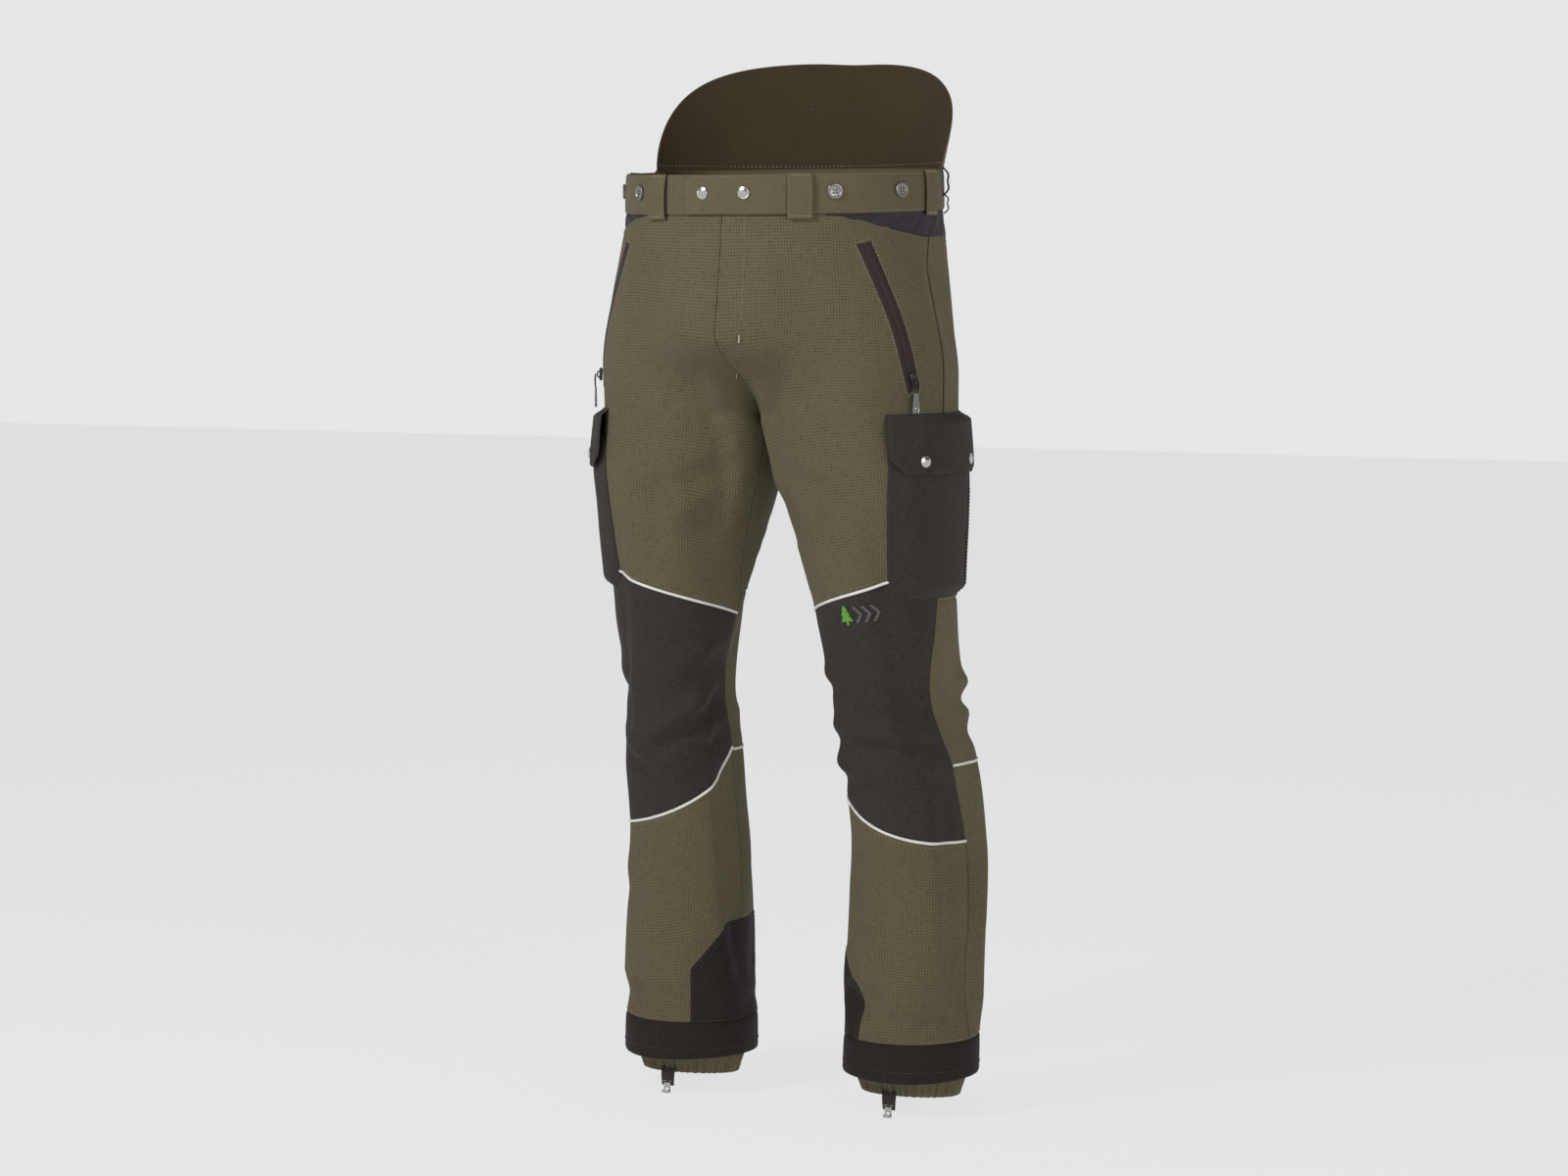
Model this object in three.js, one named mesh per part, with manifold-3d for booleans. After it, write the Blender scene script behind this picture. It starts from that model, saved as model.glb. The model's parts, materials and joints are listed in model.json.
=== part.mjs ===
// Chainsaw protective trousers with a raised kidney panel, as a garment that stands open in its worn shape.
// Millimetres, +Z up, front towards -Y, the wearer's left at +X. The origin is the centre of the waist opening.
// The left half is modelled; the right half is the same geometry in a mirrored group.
import * as THREE from "three";
import { mergeVertices } from "three/addons/utils/BufferGeometryUtils.js";
import Module from "manifold-3d";

const wasm = await Module();
wasm.setup();

// ---------------------------------------------------------------- driving dimensions
const WAIST_HALF_WIDTH = 186;
const WAIST_HALF_DEPTH = 150;
const HIP_HALF_WIDTH = 214;
const HIP_HALF_DEPTH = 163;
const HIP_FORWARD = 12; // how far the hips' centre lies in front of the waist's
const RISE = 285; // waist top to crotch
const INSEAM = 755; // crotch to hem
const KNEE_UP = 440; // hem to the middle of the knee
const WAISTBAND_HEIGHT = 45;
const WAIST_TILT = 6; // the waist is this much lower in front, and higher at the back
const LEG_EASE = 1; // girth of both legs, as a factor

const FABRIC = 1.5; // thickness of a shell panel
const WAISTBAND_THICKNESS = 3;
const SEAM_GAP = 0.6; // between two panels that are sewn edge to edge
const LAYER_GAP = 0.45; // between a piece and what it is sewn on
const MIDLINE_GAP = 0.3; // each half stays this far from the middle plane
const PAD_THICKNESS = 6.5;
const PAD_DEPTH = 5; // shell to cut-protection pad
const LINING_THICKNESS = 0.8;
const LINING_DEPTH = 4; // pad to lining

const LOOP_WIDTH = 26;
const LOOP_STAND_OFF = 3.4;
const LOOP_THICKNESS = 1.4;
const BUTTON_DIAMETER = 18;
const SNAP_DIAMETER = 14;
const SNAP_HEIGHT = 2.6;
const TAB_THICKNESS = 2;
const PIPING_WIDTH = 3;
const PIPING_HEIGHT = 2.2;
const HEM_BAND_HEIGHT = 44;
const ZIP_WIDTH = 16;
const ZIP_TAPE_THICKNESS = 0.8;
const SLIDER = { width: 9, length: 14, height: 3.4 };
const PULL = { width: 11, length: 36, thickness: 2.6 };
const POCKET_DEPTH = 11; // how far a cargo pocket stands off the leg
const POCKET_WALL = 1.2;
const POCKET_HEIGHT = 200;
const POCKET = { front: 42, back: 120 }; // degrees round the leg
const MOUTH_DROP = 30; // how much lower a cargo pocket's mouth is at its corners
const FLAP_HEIGHT = 68;
const FLAP_THICKNESS = 1.8;
const FLAP_CORNER = 16; // the flap's lower corners are cut off by this much
const KIDNEY_HEIGHT = 122;
const KIDNEY_HALF_ANGLE = 78; // degrees each side of the middle of the back
const KIDNEY_FLARE = 0.17; // outward lean, per millimetre of height
const KIDNEY_THICKNESS = 2.4;
const GAITER_THICKNESS = 1.2;
const GAITER_DROP = 26; // how far the gaiter shows below the hem
const GAITER_HALF_WIDTH = 56;
const LACE_TAB = { width: 18, length: 21, thickness: 1.6 };
const LACE_TAB_STAND_OFF = 0.7; // from the gaiter, past its facets
const LACE_HOOK = { width: 9, length: 12, reach: 6, wire: 1.6 };

// ---------------------------------------------------------------- levels
const CROTCH = -RISE;
const HEM = CROTCH - INSEAM;
const KNEE = HEM + KNEE_UP;
const BAND_TOP = HEM + HEM_BAND_HEIGHT;
const FRONT_SPLIT = CROTCH + 107; // where the centre-front seam starts to curve under
const BACK_SPLIT = CROTCH + 75;
const SIDE_SPLIT = CROTCH + 135;
const CROTCH_EASE = 30;
const UPPER_PIPING = { inner: KNEE + 90, outer: KNEE + 160 };
const LOWER_PIPING = { inner: KNEE - 72, drop: 94 };
const KNEE_BACK = { top: KNEE + 115, bottom: KNEE - 76 };
const POCKET_TOP = CROTCH + 4;
const FLAP_TOP = CROTCH + 13;
const ANKLE_PATCH = { top: HEM + 160, corner: HEM + 108, front: -27, shoulder: -59, back: -140 };
const BAND_BOTTOM = -WAISTBAND_HEIGHT;

// ---------------------------------------------------------------- small maths
const rad = THREE.MathUtils.degToRad;
const mix = THREE.MathUtils.lerp;
const clamp01 = (x) => Math.min(1, Math.max(0, x));
const ease = (x) => clamp01(x) ** 2 * (3 - 2 * clamp01(x));
const between = (x, from, to) => clamp01((x - from) / (to - from));
const call = (f, u, v) => (typeof f === "function" ? f(u, v) : f);

// A smooth curve through stations [place, value, value, ...], read at a place.
function smoothRow(stations, place) {
  let k = 0;
  while (k < stations.length - 2 && place > stations[k + 1][0]) k++;
  const [a, b] = [stations[k], stations[k + 1]];
  const before = stations[Math.max(0, k - 1)];
  const after = stations[Math.min(stations.length - 1, k + 2)];
  const s = between(place, a[0], b[0]);
  return a.slice(1).map((_, i) => {
    const slopeA = ((b[i + 1] - before[i + 1]) / (b[0] - before[0])) * (b[0] - a[0]);
    const slopeB = ((after[i + 1] - a[i + 1]) / (after[0] - a[0])) * (b[0] - a[0]);
    const s2 = s * s;
    const s3 = s2 * s;
    return (
      a[i + 1] * (2 * s3 - 3 * s2 + 1) + slopeA * (s3 - 2 * s2 + s) +
      b[i + 1] * (3 * s2 - 2 * s3) + slopeB * (s3 - s2)
    );
  });
}

// ---------------------------------------------------------------- the body's surface
// Hips, by height: [height above the crotch as a share of the rise, width share, depth share, forward share],
// where share 0 is the waist's size and 1 the hips'.
const HIP_STATIONS = [
  [0.0, 1.0, 1.0, 1.0],
  [0.23, 0.98, 1.0, 0.85],
  [0.49, 0.62, 0.6, 0.45],
  [0.79, 0.1, 0.1, 0.05],
  [1.0, 0.0, 0.0, 0.0],
];

// Legs, by height: [share of the inseam below the crotch, centre x, centre y, half width, half depth].
const LEG_STATIONS = [
  [0.0, 107, -10, 104, 116],
  [0.08, 115, -13, 100, 110],
  [0.2, 127, -8, 84, 93],
  [0.29, 133, 0, 76.5, 84],
  [0.42, 142, 11, 70, 76],
  [0.5, 146, 28, 73.5, 79],
  [0.6, 148.5, 45, 73, 78],
  [0.69, 148, 51, 76, 78],
  [0.85, 146, 45, 76.5, 77],
  [1.0, 145, 41, 77.5, 78],
];

// Angles run from 0 at the front, through 90 at the outer side, to 180 at the back. The inner side is negative.
function hipPoint(angle, z) {
  const [wide, deep, forward] = smoothRow(HIP_STATIONS, 1 + Math.min(z, 0) / RISE);
  const a = mix(WAIST_HALF_WIDTH, HIP_HALF_WIDTH, wide);
  const b = mix(WAIST_HALF_DEPTH, HIP_HALF_DEPTH, deep);
  return new THREE.Vector3(a * Math.sin(rad(angle)), -forward * HIP_FORWARD - b * Math.cos(rad(angle)), z);
}

function legSection(z) {
  const [x, y, wide, deep] = smoothRow(LEG_STATIONS, clamp01((CROTCH - z) / INSEAM));
  const shift = (WAIST_HALF_WIDTH - 186) * 0.5;
  return { x: x + shift, y, wide: wide * LEG_EASE, deep: deep * LEG_EASE };
}

function legPoint(angle, z) {
  const s = legSection(z);
  return new THREE.Vector3(s.x + s.wide * Math.sin(rad(angle)), s.y - s.deep * Math.cos(rad(angle)), z);
}

// The seam down the outside and the seam down the inside of the leg, as angles by height. The outer seam runs
// forward beside the knee, where the back panel reaches further round.
const HIP_SEAM = 85;
const OUTER_SEAM = [
  [-170, 85],
  [-90, 71],
  [0, 63],
  [76, 73],
  [160, 82],
  [240, 85],
];
const outerSeam = (z) => smoothRow(OUTER_SEAM, THREE.MathUtils.clamp(KNEE - z, -170, 240))[0];
const innerSeam = (z) => mix(-75, -85, between(z, CROTCH, KNEE + 40));

// How far a point of a panel belongs to the leg rather than to the hips.
function legShare(z, split, centre) {
  const side = ease(between(z, SIDE_SPLIT, CROTCH));
  return mix(side, ease(between(z, split, CROTCH)), centre);
}

// Above the crotch the two halves meet in the middle, and just below it the legs part gently.
function closeCrotch(point, z, share, centre) {
  const apart = legPoint(innerSeam(CROTCH), CROTCH).x;
  const part = z > CROTCH ? share : Math.exp((z - CROTCH) / CROTCH_EASE);
  point.x -= apart * part * centre ** 2;
  return point;
}

// The front of the garment, from the middle or the inseam (u = 0) to the outer seam (u = 1).
function frontPoint(u, z) {
  const share = legShare(z, FRONT_SPLIT, 1 - u);
  const hip = hipPoint(mix(0, HIP_SEAM, u), z);
  return closeCrotch(hip.lerp(legPoint(mix(innerSeam(z), outerSeam(z), u), z), share), z, share, 1 - u);
}

// The back, from the outer seam (u = 0) to the middle or the inseam (u = 1).
function backPoint(u, z) {
  const share = legShare(z, BACK_SPLIT, u);
  const hip = hipPoint(mix(HIP_SEAM, 180, u), z);
  return closeCrotch(hip.lerp(legPoint(mix(outerSeam(z), 360 + innerSeam(z), u), z), share), z, share, u);
}

// ---------------------------------------------------------------- solids from surfaces
// A closed solid between two offsets of a surface. at(u, v) gives a point, u runs from front to back over the
// outer side and v runs down, so the outward side is dv x du.
function sheet({ at, cols, rows, inner, outer, ring = false, midline = true }) {
  const step = 1e-3;
  const clampInside = (x) => Math.min(1 - step, Math.max(step, x));
  const normalAt = (u, v) => {
    const cu = ring ? u : clampInside(u);
    const cv = clampInside(v);
    const du = at(cu + step, cv).sub(at(cu - step, cv));
    const dv = at(cu, cv + step).sub(at(cu, cv - step));
    return dv.cross(du).normalize();
  };
  const across = ring ? cols : cols + 1;
  const vertices = [];
  for (const offset of [outer, inner])
    for (let j = 0; j <= rows; j++)
      for (let i = 0; i < across; i++) {
        const [u, v] = [i / cols, j / rows];
        const p = at(u, v).addScaledVector(normalAt(u, v), call(offset, u, v));
        vertices.push(midline ? Math.max(p.x, MIDLINE_GAP) : p.x, p.y, p.z);
      }
  const layer = across * (rows + 1);
  const id = (i, j, inside = 0) => inside * layer + j * across + (i % across);
  const faces = [];
  const wall = (p, q) => faces.push(q, p, p + layer, q, p + layer, q + layer);
  for (let j = 0; j < rows; j++)
    for (let i = 0; i < cols; i++) {
      const [a, b, c, d] = [id(i, j), id(i, j + 1), id(i + 1, j), id(i + 1, j + 1)];
      faces.push(a, b, c, c, b, d);
      faces.push(a + layer, c + layer, b + layer, c + layer, d + layer, b + layer);
    }
  for (let i = 0; i < cols; i++) {
    wall(id(i, rows), id(i + 1, rows));
    wall(id(i + 1, 0), id(i, 0));
  }
  if (!ring)
    for (let j = 0; j < rows; j++) {
      wall(id(0, j), id(0, j + 1));
      wall(id(cols, j + 1), id(cols, j));
    }
  const g = new THREE.BufferGeometry();
  g.setAttribute("position", new THREE.BufferAttribute(new Float32Array(vertices), 3));
  g.setIndex(faces);
  return g;
}

function solidOf(geometry) {
  const g = geometry.clone();
  g.deleteAttribute("normal");
  g.deleteAttribute("uv");
  const merged = mergeVertices(g, 1e-3);
  return new wasm.Manifold(
    new wasm.Mesh({
      numProp: 3,
      vertProperties: new Float32Array(merged.attributes.position.array),
      triVerts: new Uint32Array(merged.index.array),
    }),
  );
}

function geometryOf(solid) {
  const m = solid.getMesh();
  const g = new THREE.BufferGeometry();
  g.setAttribute("position", new THREE.BufferAttribute(new Float32Array(m.vertProperties), 3));
  g.setIndex(new THREE.BufferAttribute(new Uint32Array(m.triVerts), 1));
  return g;
}

const subtract = (a, b) => geometryOf(solidOf(a).subtract(solidOf(b)));
const join = (a, b) => geometryOf(solidOf(a).add(solidOf(b)));

// A place on a surface to stand hardware on: its point, and axes with +Z outward and +Y up the garment.
function place(at, u, v, offset) {
  const step = 1e-3;
  const du = at(u + step, v).sub(at(u - step, v));
  const dv = at(u, v + step).sub(at(u, v - step));
  const out = dv.clone().cross(du).normalize();
  const up = dv.normalize().negate();
  const right = up.clone().cross(out).normalize();
  const point = at(u, v).addScaledVector(out, offset);
  return { point, out, up, right, turn: new THREE.Matrix4().makeBasis(right, up, out) };
}

function standOn(geometry, spot) {
  return geometry.applyMatrix4(new THREE.Matrix4().setPosition(spot.point).multiply(spot.turn));
}

// ---------------------------------------------------------------- materials
const paint = (hex, roughness, metalness = 0) =>
  new THREE.MeshStandardMaterial({ color: hex, roughness, metalness });
const MATERIAL = {
  ripstop: paint(0x585038, 0.9),
  twill: paint(0x5f583f, 0.85),
  charcoal: paint(0x3a3634, 0.9),
  brown: paint(0x2f2524, 0.9),
  knit: paint(0x4a434d, 0.95),
  reflective: paint(0xd9d6d2, 0.4),
  padding: paint(0xd8d4c4, 0.95),
  lining: paint(0x2b2b2b, 0.95),
  steel: paint(0xb8b6b4, 0.3, 1),
  rubber: paint(0x4f5352, 0.6),
};

const trousers = new THREE.Group();
const leftHalf = new THREE.Group();
const rightHalf = new THREE.Group();
rightHalf.scale.x = -1;
trousers.add(leftHalf, rightHalf);

function addMesh(group, name, geometry, material) {
  const mesh = new THREE.Mesh(geometry, material);
  mesh.name = name;
  group.add(mesh);
}

function addPair(name, geometry, material) {
  addMesh(leftHalf, `${name}_left`, geometry, material);
  addMesh(rightHalf, `${name}_right`, geometry, material);
}

// ---------------------------------------------------------------- shell panels
// A panel edge is pulled back by half a seam gap, given as a share of the panel's size there.
const EDGE_U = 0.007; // along the outer seam
const MIDDLE_EDGE_U = 0.0045; // along the centre seam and the inseam
const trimZ = (top, bottom) => (u, v) => mix(call(top, u) - SEAM_GAP / 2, call(bottom, u) + SEAM_GAP / 2, v);

const waistTop = (angle) => -WAIST_TILT * Math.cos(rad(angle));
const frontTop = (u) => {
  const angle = u * HIP_SEAM;
  return waistTop(angle) + BAND_BOTTOM - STRETCH_SIDE * ease(between(angle, STRETCH_START, HIP_SEAM));
};
const backTop = (u) => {
  const angle = mix(HIP_SEAM, 180, u);
  return waistTop(angle) + BAND_BOTTOM - mix(STRETCH_SIDE, STRETCH_BACK, ease(u));
};
const STRETCH_GAP = 2; // to the panels under it
const STRETCH_TIP = 13; // degrees past that where the insert is tall enough to sew
const STRETCH_START = 32; // degrees from the middle of the front
const STRETCH_SIDE = 28; // height of the stretch insert at the side seam
const STRETCH_BACK = 58; // and at the middle of the back
const upperPiping = (u) => mix(UPPER_PIPING.inner, UPPER_PIPING.outer, u);
const lowerPiping = (u) => LOWER_PIPING.inner - LOWER_PIPING.drop * (1 - (1 - clamp01(u)) ** 2.6);

// A long panel has more rows, so that its facets stay as close to the surface.
function shellPanel(point, top, bottom, cols, rowHeight) {
  const height = trimZ(top, bottom);
  const rows = Math.ceil((call(top, 0) - call(bottom, 0)) / rowHeight);
  const [edge0, edge1] = point === frontPoint ? [MIDDLE_EDGE_U, EDGE_U] : [EDGE_U, MIDDLE_EDGE_U];
  const trim = (u) => mix(edge0, 1 - edge1, u);
  return sheet({ at: (u, v) => point(trim(u), height(u, v)), cols, rows, inner: 0, outer: FABRIC });
}

addPair("thigh_front", shellPanel(frontPoint, frontTop, upperPiping, 7, 42), MATERIAL.ripstop);
addPair("seat_panel", shellPanel(backPoint, backTop, KNEE_BACK.top, 7, 38), MATERIAL.twill);
addPair("knee_panel", shellPanel(frontPoint, upperPiping, lowerPiping, 7, 28), MATERIAL.charcoal);
addPair("knee_back", shellPanel(backPoint, KNEE_BACK.top, KNEE_BACK.bottom, 7, 48), MATERIAL.twill);
addPair("shin_front", shellPanel(frontPoint, lowerPiping, BAND_TOP, 7, 56), MATERIAL.ripstop);
addPair("calf_panel", shellPanel(backPoint, KNEE_BACK.bottom, BAND_TOP, 7, 65), MATERIAL.ripstop);

// The hem band is a closed ring of turned-up fabric.
const hemRing = (u, v) => legPoint(u * 360, mix(BAND_TOP - SEAM_GAP / 2, HEM, v));
const hemBand = sheet({ at: hemRing, cols: 16, rows: 1, inner: 0, outer: FABRIC + 0.3, ring: true });
addPair("hem_band", hemBand, MATERIAL.brown);

// ---------------------------------------------------------------- waist
const waistPoint = (angle, down) => hipPoint(angle, waistTop(angle) - down);

// Stretch insert between the waistband and the panels, round the back from one front end to the other.
function stretchPoint(u, v) {
  const angle = mix(STRETCH_START + STRETCH_TIP, 360 - STRETCH_START - STRETCH_TIP, u);
  const half = angle > 180 ? 360 - angle : angle;
  const low = half < HIP_SEAM ? frontTop(half / HIP_SEAM) : backTop((half - HIP_SEAM) / (180 - HIP_SEAM));
  const high = waistTop(half) + BAND_BOTTOM;
  return hipPoint(angle, mix(high - SEAM_GAP / 2, Math.min(low + STRETCH_GAP, high - 1), v));
}
const stretch = sheet({ at: stretchPoint, cols: 28, rows: 1, inner: 0, outer: FABRIC, midline: false });
addMesh(trousers, "waist_stretch", stretch, MATERIAL.knit);

const BAND_SPLIT = 88; // where the back waistband starts, in degrees
const bandHeight = WAISTBAND_HEIGHT - SEAM_GAP / 2;
function bandPiece(from, to, cols, midline) {
  return sheet({
    at: (u, v) => waistPoint(mix(from, to, u), v * bandHeight),
    cols, rows: 1, inner: 0, outer: WAISTBAND_THICKNESS, midline,
  });
}
addPair("waistband", bandPiece(0.1, BAND_SPLIT - 0.15, 8, true), MATERIAL.twill);
addMesh(trousers, "waistband_back", bandPiece(BAND_SPLIT, 360 - BAND_SPLIT, 16, false), MATERIAL.twill);

// The closing tab lies over both front waistbands and is sewn to the left one at its hinge end.
const TAB = { hinge: 20, end: -14.5, low: WAISTBAND_THICKNESS + LAYER_GAP };
const tabPoint = (u, v) => waistPoint(mix(TAB.end, TAB.hinge, u), v * (WAISTBAND_HEIGHT - 1));
const tab = sheet({
  at: tabPoint, cols: 6, rows: 1, inner: TAB.low, outer: TAB.low + TAB_THICKNESS, midline: false,
});
addMesh(trousers, "waist_tab", tab, MATERIAL.twill);

const onWaistband = (angle, share, offset) =>
  place((u, v) => waistPoint(u, v * WAISTBAND_HEIGHT), angle, share, offset);

// A domed cap on a short skirt, standing along +Z.
function cap(diameter, height) {
  const r = diameter / 2;
  const shoulder = [[r, height * 0.45], [r * 0.82, height * 0.85], [r * 0.4, height]];
  const profile = [[0, 0], [r, 0], ...shoulder, [0, height]];
  const g = new THREE.LatheGeometry(profile.map(([x, y]) => new THREE.Vector2(x, y)), 12);
  return g.rotateX(Math.PI / 2);
}
const tabFace = TAB.low + TAB_THICKNESS + LAYER_GAP + 0.2; // past the facets of the tab
for (const [name, angle] of [["waist_snap_inner", 8.5], ["waist_snap_outer", -7]]) {
  const spot = onWaistband(angle, 0.46, tabFace);
  addMesh(trousers, name, standOn(cap(SNAP_DIAMETER, SNAP_HEIGHT), spot), MATERIAL.steel);
}

// Four-hole brace buttons: a dished disc with four drilled holes.
function braceButton() {
  const r = BUTTON_DIAMETER / 2;
  const profile = [[0, 0], [r * 0.8, 0], [r, 1], [r, 2.2], [r * 0.86, 3], [r * 0.62, 1.8], [0, 1.8]];
  const disc = new THREE.LatheGeometry(profile.map(([x, y]) => new THREE.Vector2(x, y)), 12);
  let solid = solidOf(disc.rotateX(Math.PI / 2));
  for (const [x, y] of [[1, 1], [1, -1], [-1, 1], [-1, -1]]) {
    const hole = new THREE.CylinderGeometry(0.9, 0.9, 8, 4).rotateX(Math.PI / 2);
    solid = solid.subtract(solidOf(hole.translate(x * 1.7, y * 1.7, 1)));
  }
  return geometryOf(solid);
}
const BUTTON_ANGLES = { front: 40.5, side: 68 };

for (const [name, angle] of Object.entries(BUTTON_ANGLES)) {
  const spot = onWaistband(angle, 0.45, WAISTBAND_THICKNESS + LAYER_GAP);
  addPair(`brace_button_${name}`, standOn(braceButton(), spot), MATERIAL.steel);
}

// Belt loops: wide strips that stand off the band and are sewn down at both ends.
const halfLoopAngle = (LOOP_WIDTH / 2 / ((WAIST_HALF_WIDTH + WAIST_HALF_DEPTH) / 2)) * (180 / Math.PI);
function beltLoop(angle) {
  const bow = (v) => WAISTBAND_THICKNESS + LAYER_GAP + LOOP_STAND_OFF * Math.sin(Math.PI * v) ** 0.5;
  return sheet({
    at: (u, v) => waistPoint(angle + mix(-halfLoopAngle, halfLoopAngle, u), mix(0.5, WAISTBAND_HEIGHT + 5, v)),
    cols: 2, rows: 6, inner: (u, v) => bow(v), outer: (u, v) => bow(v) + LOOP_THICKNESS,
  });
}
addPair("belt_loop_front", beltLoop(28), MATERIAL.twill);
addPair("belt_loop_side", beltLoop(86), MATERIAL.twill);

// ---------------------------------------------------------------- kidney panel
// It stands on the back waistband and leans outward.
function kidneyPoint(u, v) {
  const angle = mix(180 - KIDNEY_HALF_ANGLE, 180 + KIDNEY_HALF_ANGLE, u);
  const off = Math.abs(angle - 180) / KIDNEY_HALF_ANGLE;
  const top = 3 + KIDNEY_HEIGHT * Math.max(0, 1 - off ** 2.6) ** 0.75;
  const rise = mix(top, SEAM_GAP, v);
  const base = hipPoint(angle, 0);
  const lean = 1 + (KIDNEY_FLARE * rise) / base.length();
  return new THREE.Vector3(base.x * lean, base.y * lean, waistTop(angle) + rise);
}
const kidney = sheet({ at: kidneyPoint, cols: 18, rows: 4, inner: 0, outer: KIDNEY_THICKNESS, midline: false });
addMesh(trousers, "kidney_panel", kidney, MATERIAL.twill);

// ---------------------------------------------------------------- piping
// A reflective cord sewn along a line of the front surface.
function piping(line, cols, end = 0.99) {
  const low = FABRIC + LAYER_GAP + 0.2;
  const along = (u) => mix(0.01, end, u);
  return sheet({
    at: (u, v) => frontPoint(along(u), line(along(u)) + mix(PIPING_WIDTH / 2, -PIPING_WIDTH / 2, v)),
    cols, rows: 1, inner: low, outer: low + PIPING_HEIGHT,
  });
}
const underPocket = (POCKET.front - 2 - innerSeam(KNEE)) / (HIP_SEAM - innerSeam(KNEE));
addPair("upper_piping", piping(upperPiping, 10, underPocket), MATERIAL.reflective);
addPair("lower_piping", piping(lowerPiping, 14), MATERIAL.reflective);

// ---------------------------------------------------------------- cut protection and lining
const padOuter = -PAD_DEPTH;
const padInner = padOuter - PAD_THICKNESS;
const PAD = { from: -96, to: 92, top: CROTCH - 44, bottom: HEM + 80 };
const padPoint = (u, v) => legPoint(mix(PAD.from, PAD.to, u), mix(PAD.top, PAD.bottom, v));
const cutPad = sheet({ at: padPoint, cols: 7, rows: 8, inner: padInner, outer: padOuter });
addPair("cut_pad", cutPad, MATERIAL.padding);

const liningOuter = padInner - LINING_DEPTH;
const liningPoint = (u, v) => legPoint(u * 360, mix(PAD.top - 6, HEM + 30, v));
const lining = sheet({
  at: liningPoint, cols: 12, rows: 8, inner: liningOuter - LINING_THICKNESS, outer: liningOuter, ring: true,
});
addPair("lining", lining, MATERIAL.lining);

// ---------------------------------------------------------------- hip pockets
// The zip runs down and back over the hip on one arc, through three places on the front panel.
const ZIP_TOP = { u: 0.6, z: -84 };
const ZIP_BOTTOM = { u: 0.83, z: -243 };
const ZIP_CLEARANCE = 0.4; // panel to zip tape, where the panel bulges most under the arc
const PANEL_SAG = 0.7; // the panel's facets lie this far under its true surface there
const onPanel = (u, z, lift) => place((across, down) => frontPoint(across, -down), u, -z, FABRIC + lift);
const zipPlace = (share, lift) =>
  onPanel(mix(ZIP_BOTTOM.u, ZIP_TOP.u, share), mix(ZIP_BOTTOM.z, ZIP_TOP.z, share), lift);

function arcThrough(a, b, c) {
  const [ab, ac] = [b.clone().sub(a), c.clone().sub(a)];
  const axis = ab.clone().cross(ac);
  const toCentre = axis.clone().cross(ab).multiplyScalar(ac.lengthSq());
  toCentre.add(ac.clone().cross(axis).multiplyScalar(ab.lengthSq())).divideScalar(2 * axis.lengthSq());
  const centre = a.clone().add(toCentre);
  axis.normalize();
  const sweep = a.clone().sub(centre).angleTo(c.clone().sub(centre));
  return { centre, axis, sweep, start: a };
}
const arcOver = (lift) => arcThrough(...[0, 0.5, 1].map((share) => zipPlace(share, lift).point));
// The panel's height over the arc at a share of it: the place on the panel is moved until it lies under the arc.
const bulge = (arc, share) => {
  const turn = new THREE.Matrix4().makeRotationAxis(arc.axis, share * arc.sweep);
  const target = arc.start.clone().sub(arc.centre).applyMatrix4(turn).add(arc.centre);
  let [u, z] = [mix(ZIP_BOTTOM.u, ZIP_TOP.u, share), mix(ZIP_BOTTOM.z, ZIP_TOP.z, share)];
  for (let i = 0; i < 6; i++) {
    const spot = onPanel(u, z, 0);
    const away = target.clone().sub(spot.point);
    u += away.dot(spot.right) / (frontPoint(u + 0.01, z).distanceTo(frontPoint(u, z)) * 100);
    z += away.dot(spot.up);
  }
  const under = onPanel(u, z, 0);
  return under.point.sub(target).dot(under.out);
};
const lowArc = arcOver(0);
const bulges = Array.from({ length: 11 }, (_, i) => bulge(lowArc, i / 10));
const zipLift = ZIP_CLEARANCE - PANEL_SAG + Math.max(...bulges);
const zipArc = arcOver(zipLift);
const zipMiddle = zipPlace(0.5, zipLift);

// A place along the arc, with +Y up the zip and +Z outward.
function onZip(share) {
  const turn = new THREE.Matrix4().makeRotationAxis(zipArc.axis, share * zipArc.sweep);
  const radius = zipArc.start.clone().sub(zipArc.centre).applyMatrix4(turn);
  const up = zipArc.axis.clone().cross(radius).normalize();
  const out = zipMiddle.out.clone();
  out.applyAxisAngle(zipArc.axis, (share - 0.5) * zipArc.sweep).addScaledVector(up, -out.dot(up)).normalize();
  const right = up.clone().cross(out);
  const point = zipArc.centre.clone().add(radius);
  return { point, out, up, right, turn: new THREE.Matrix4().makeBasis(right, up, out) };
}
const zipPoint = (u, v) => {
  const spot = onZip(1 - v);
  return spot.point.addScaledVector(spot.right, mix(-ZIP_WIDTH / 2, ZIP_WIDTH / 2, u));
};
const zipTape = sheet({ at: zipPoint, cols: 1, rows: 12, inner: 0, outer: ZIP_TAPE_THICKNESS });
addPair("hip_zip_tape", zipTape, MATERIAL.brown);

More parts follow.
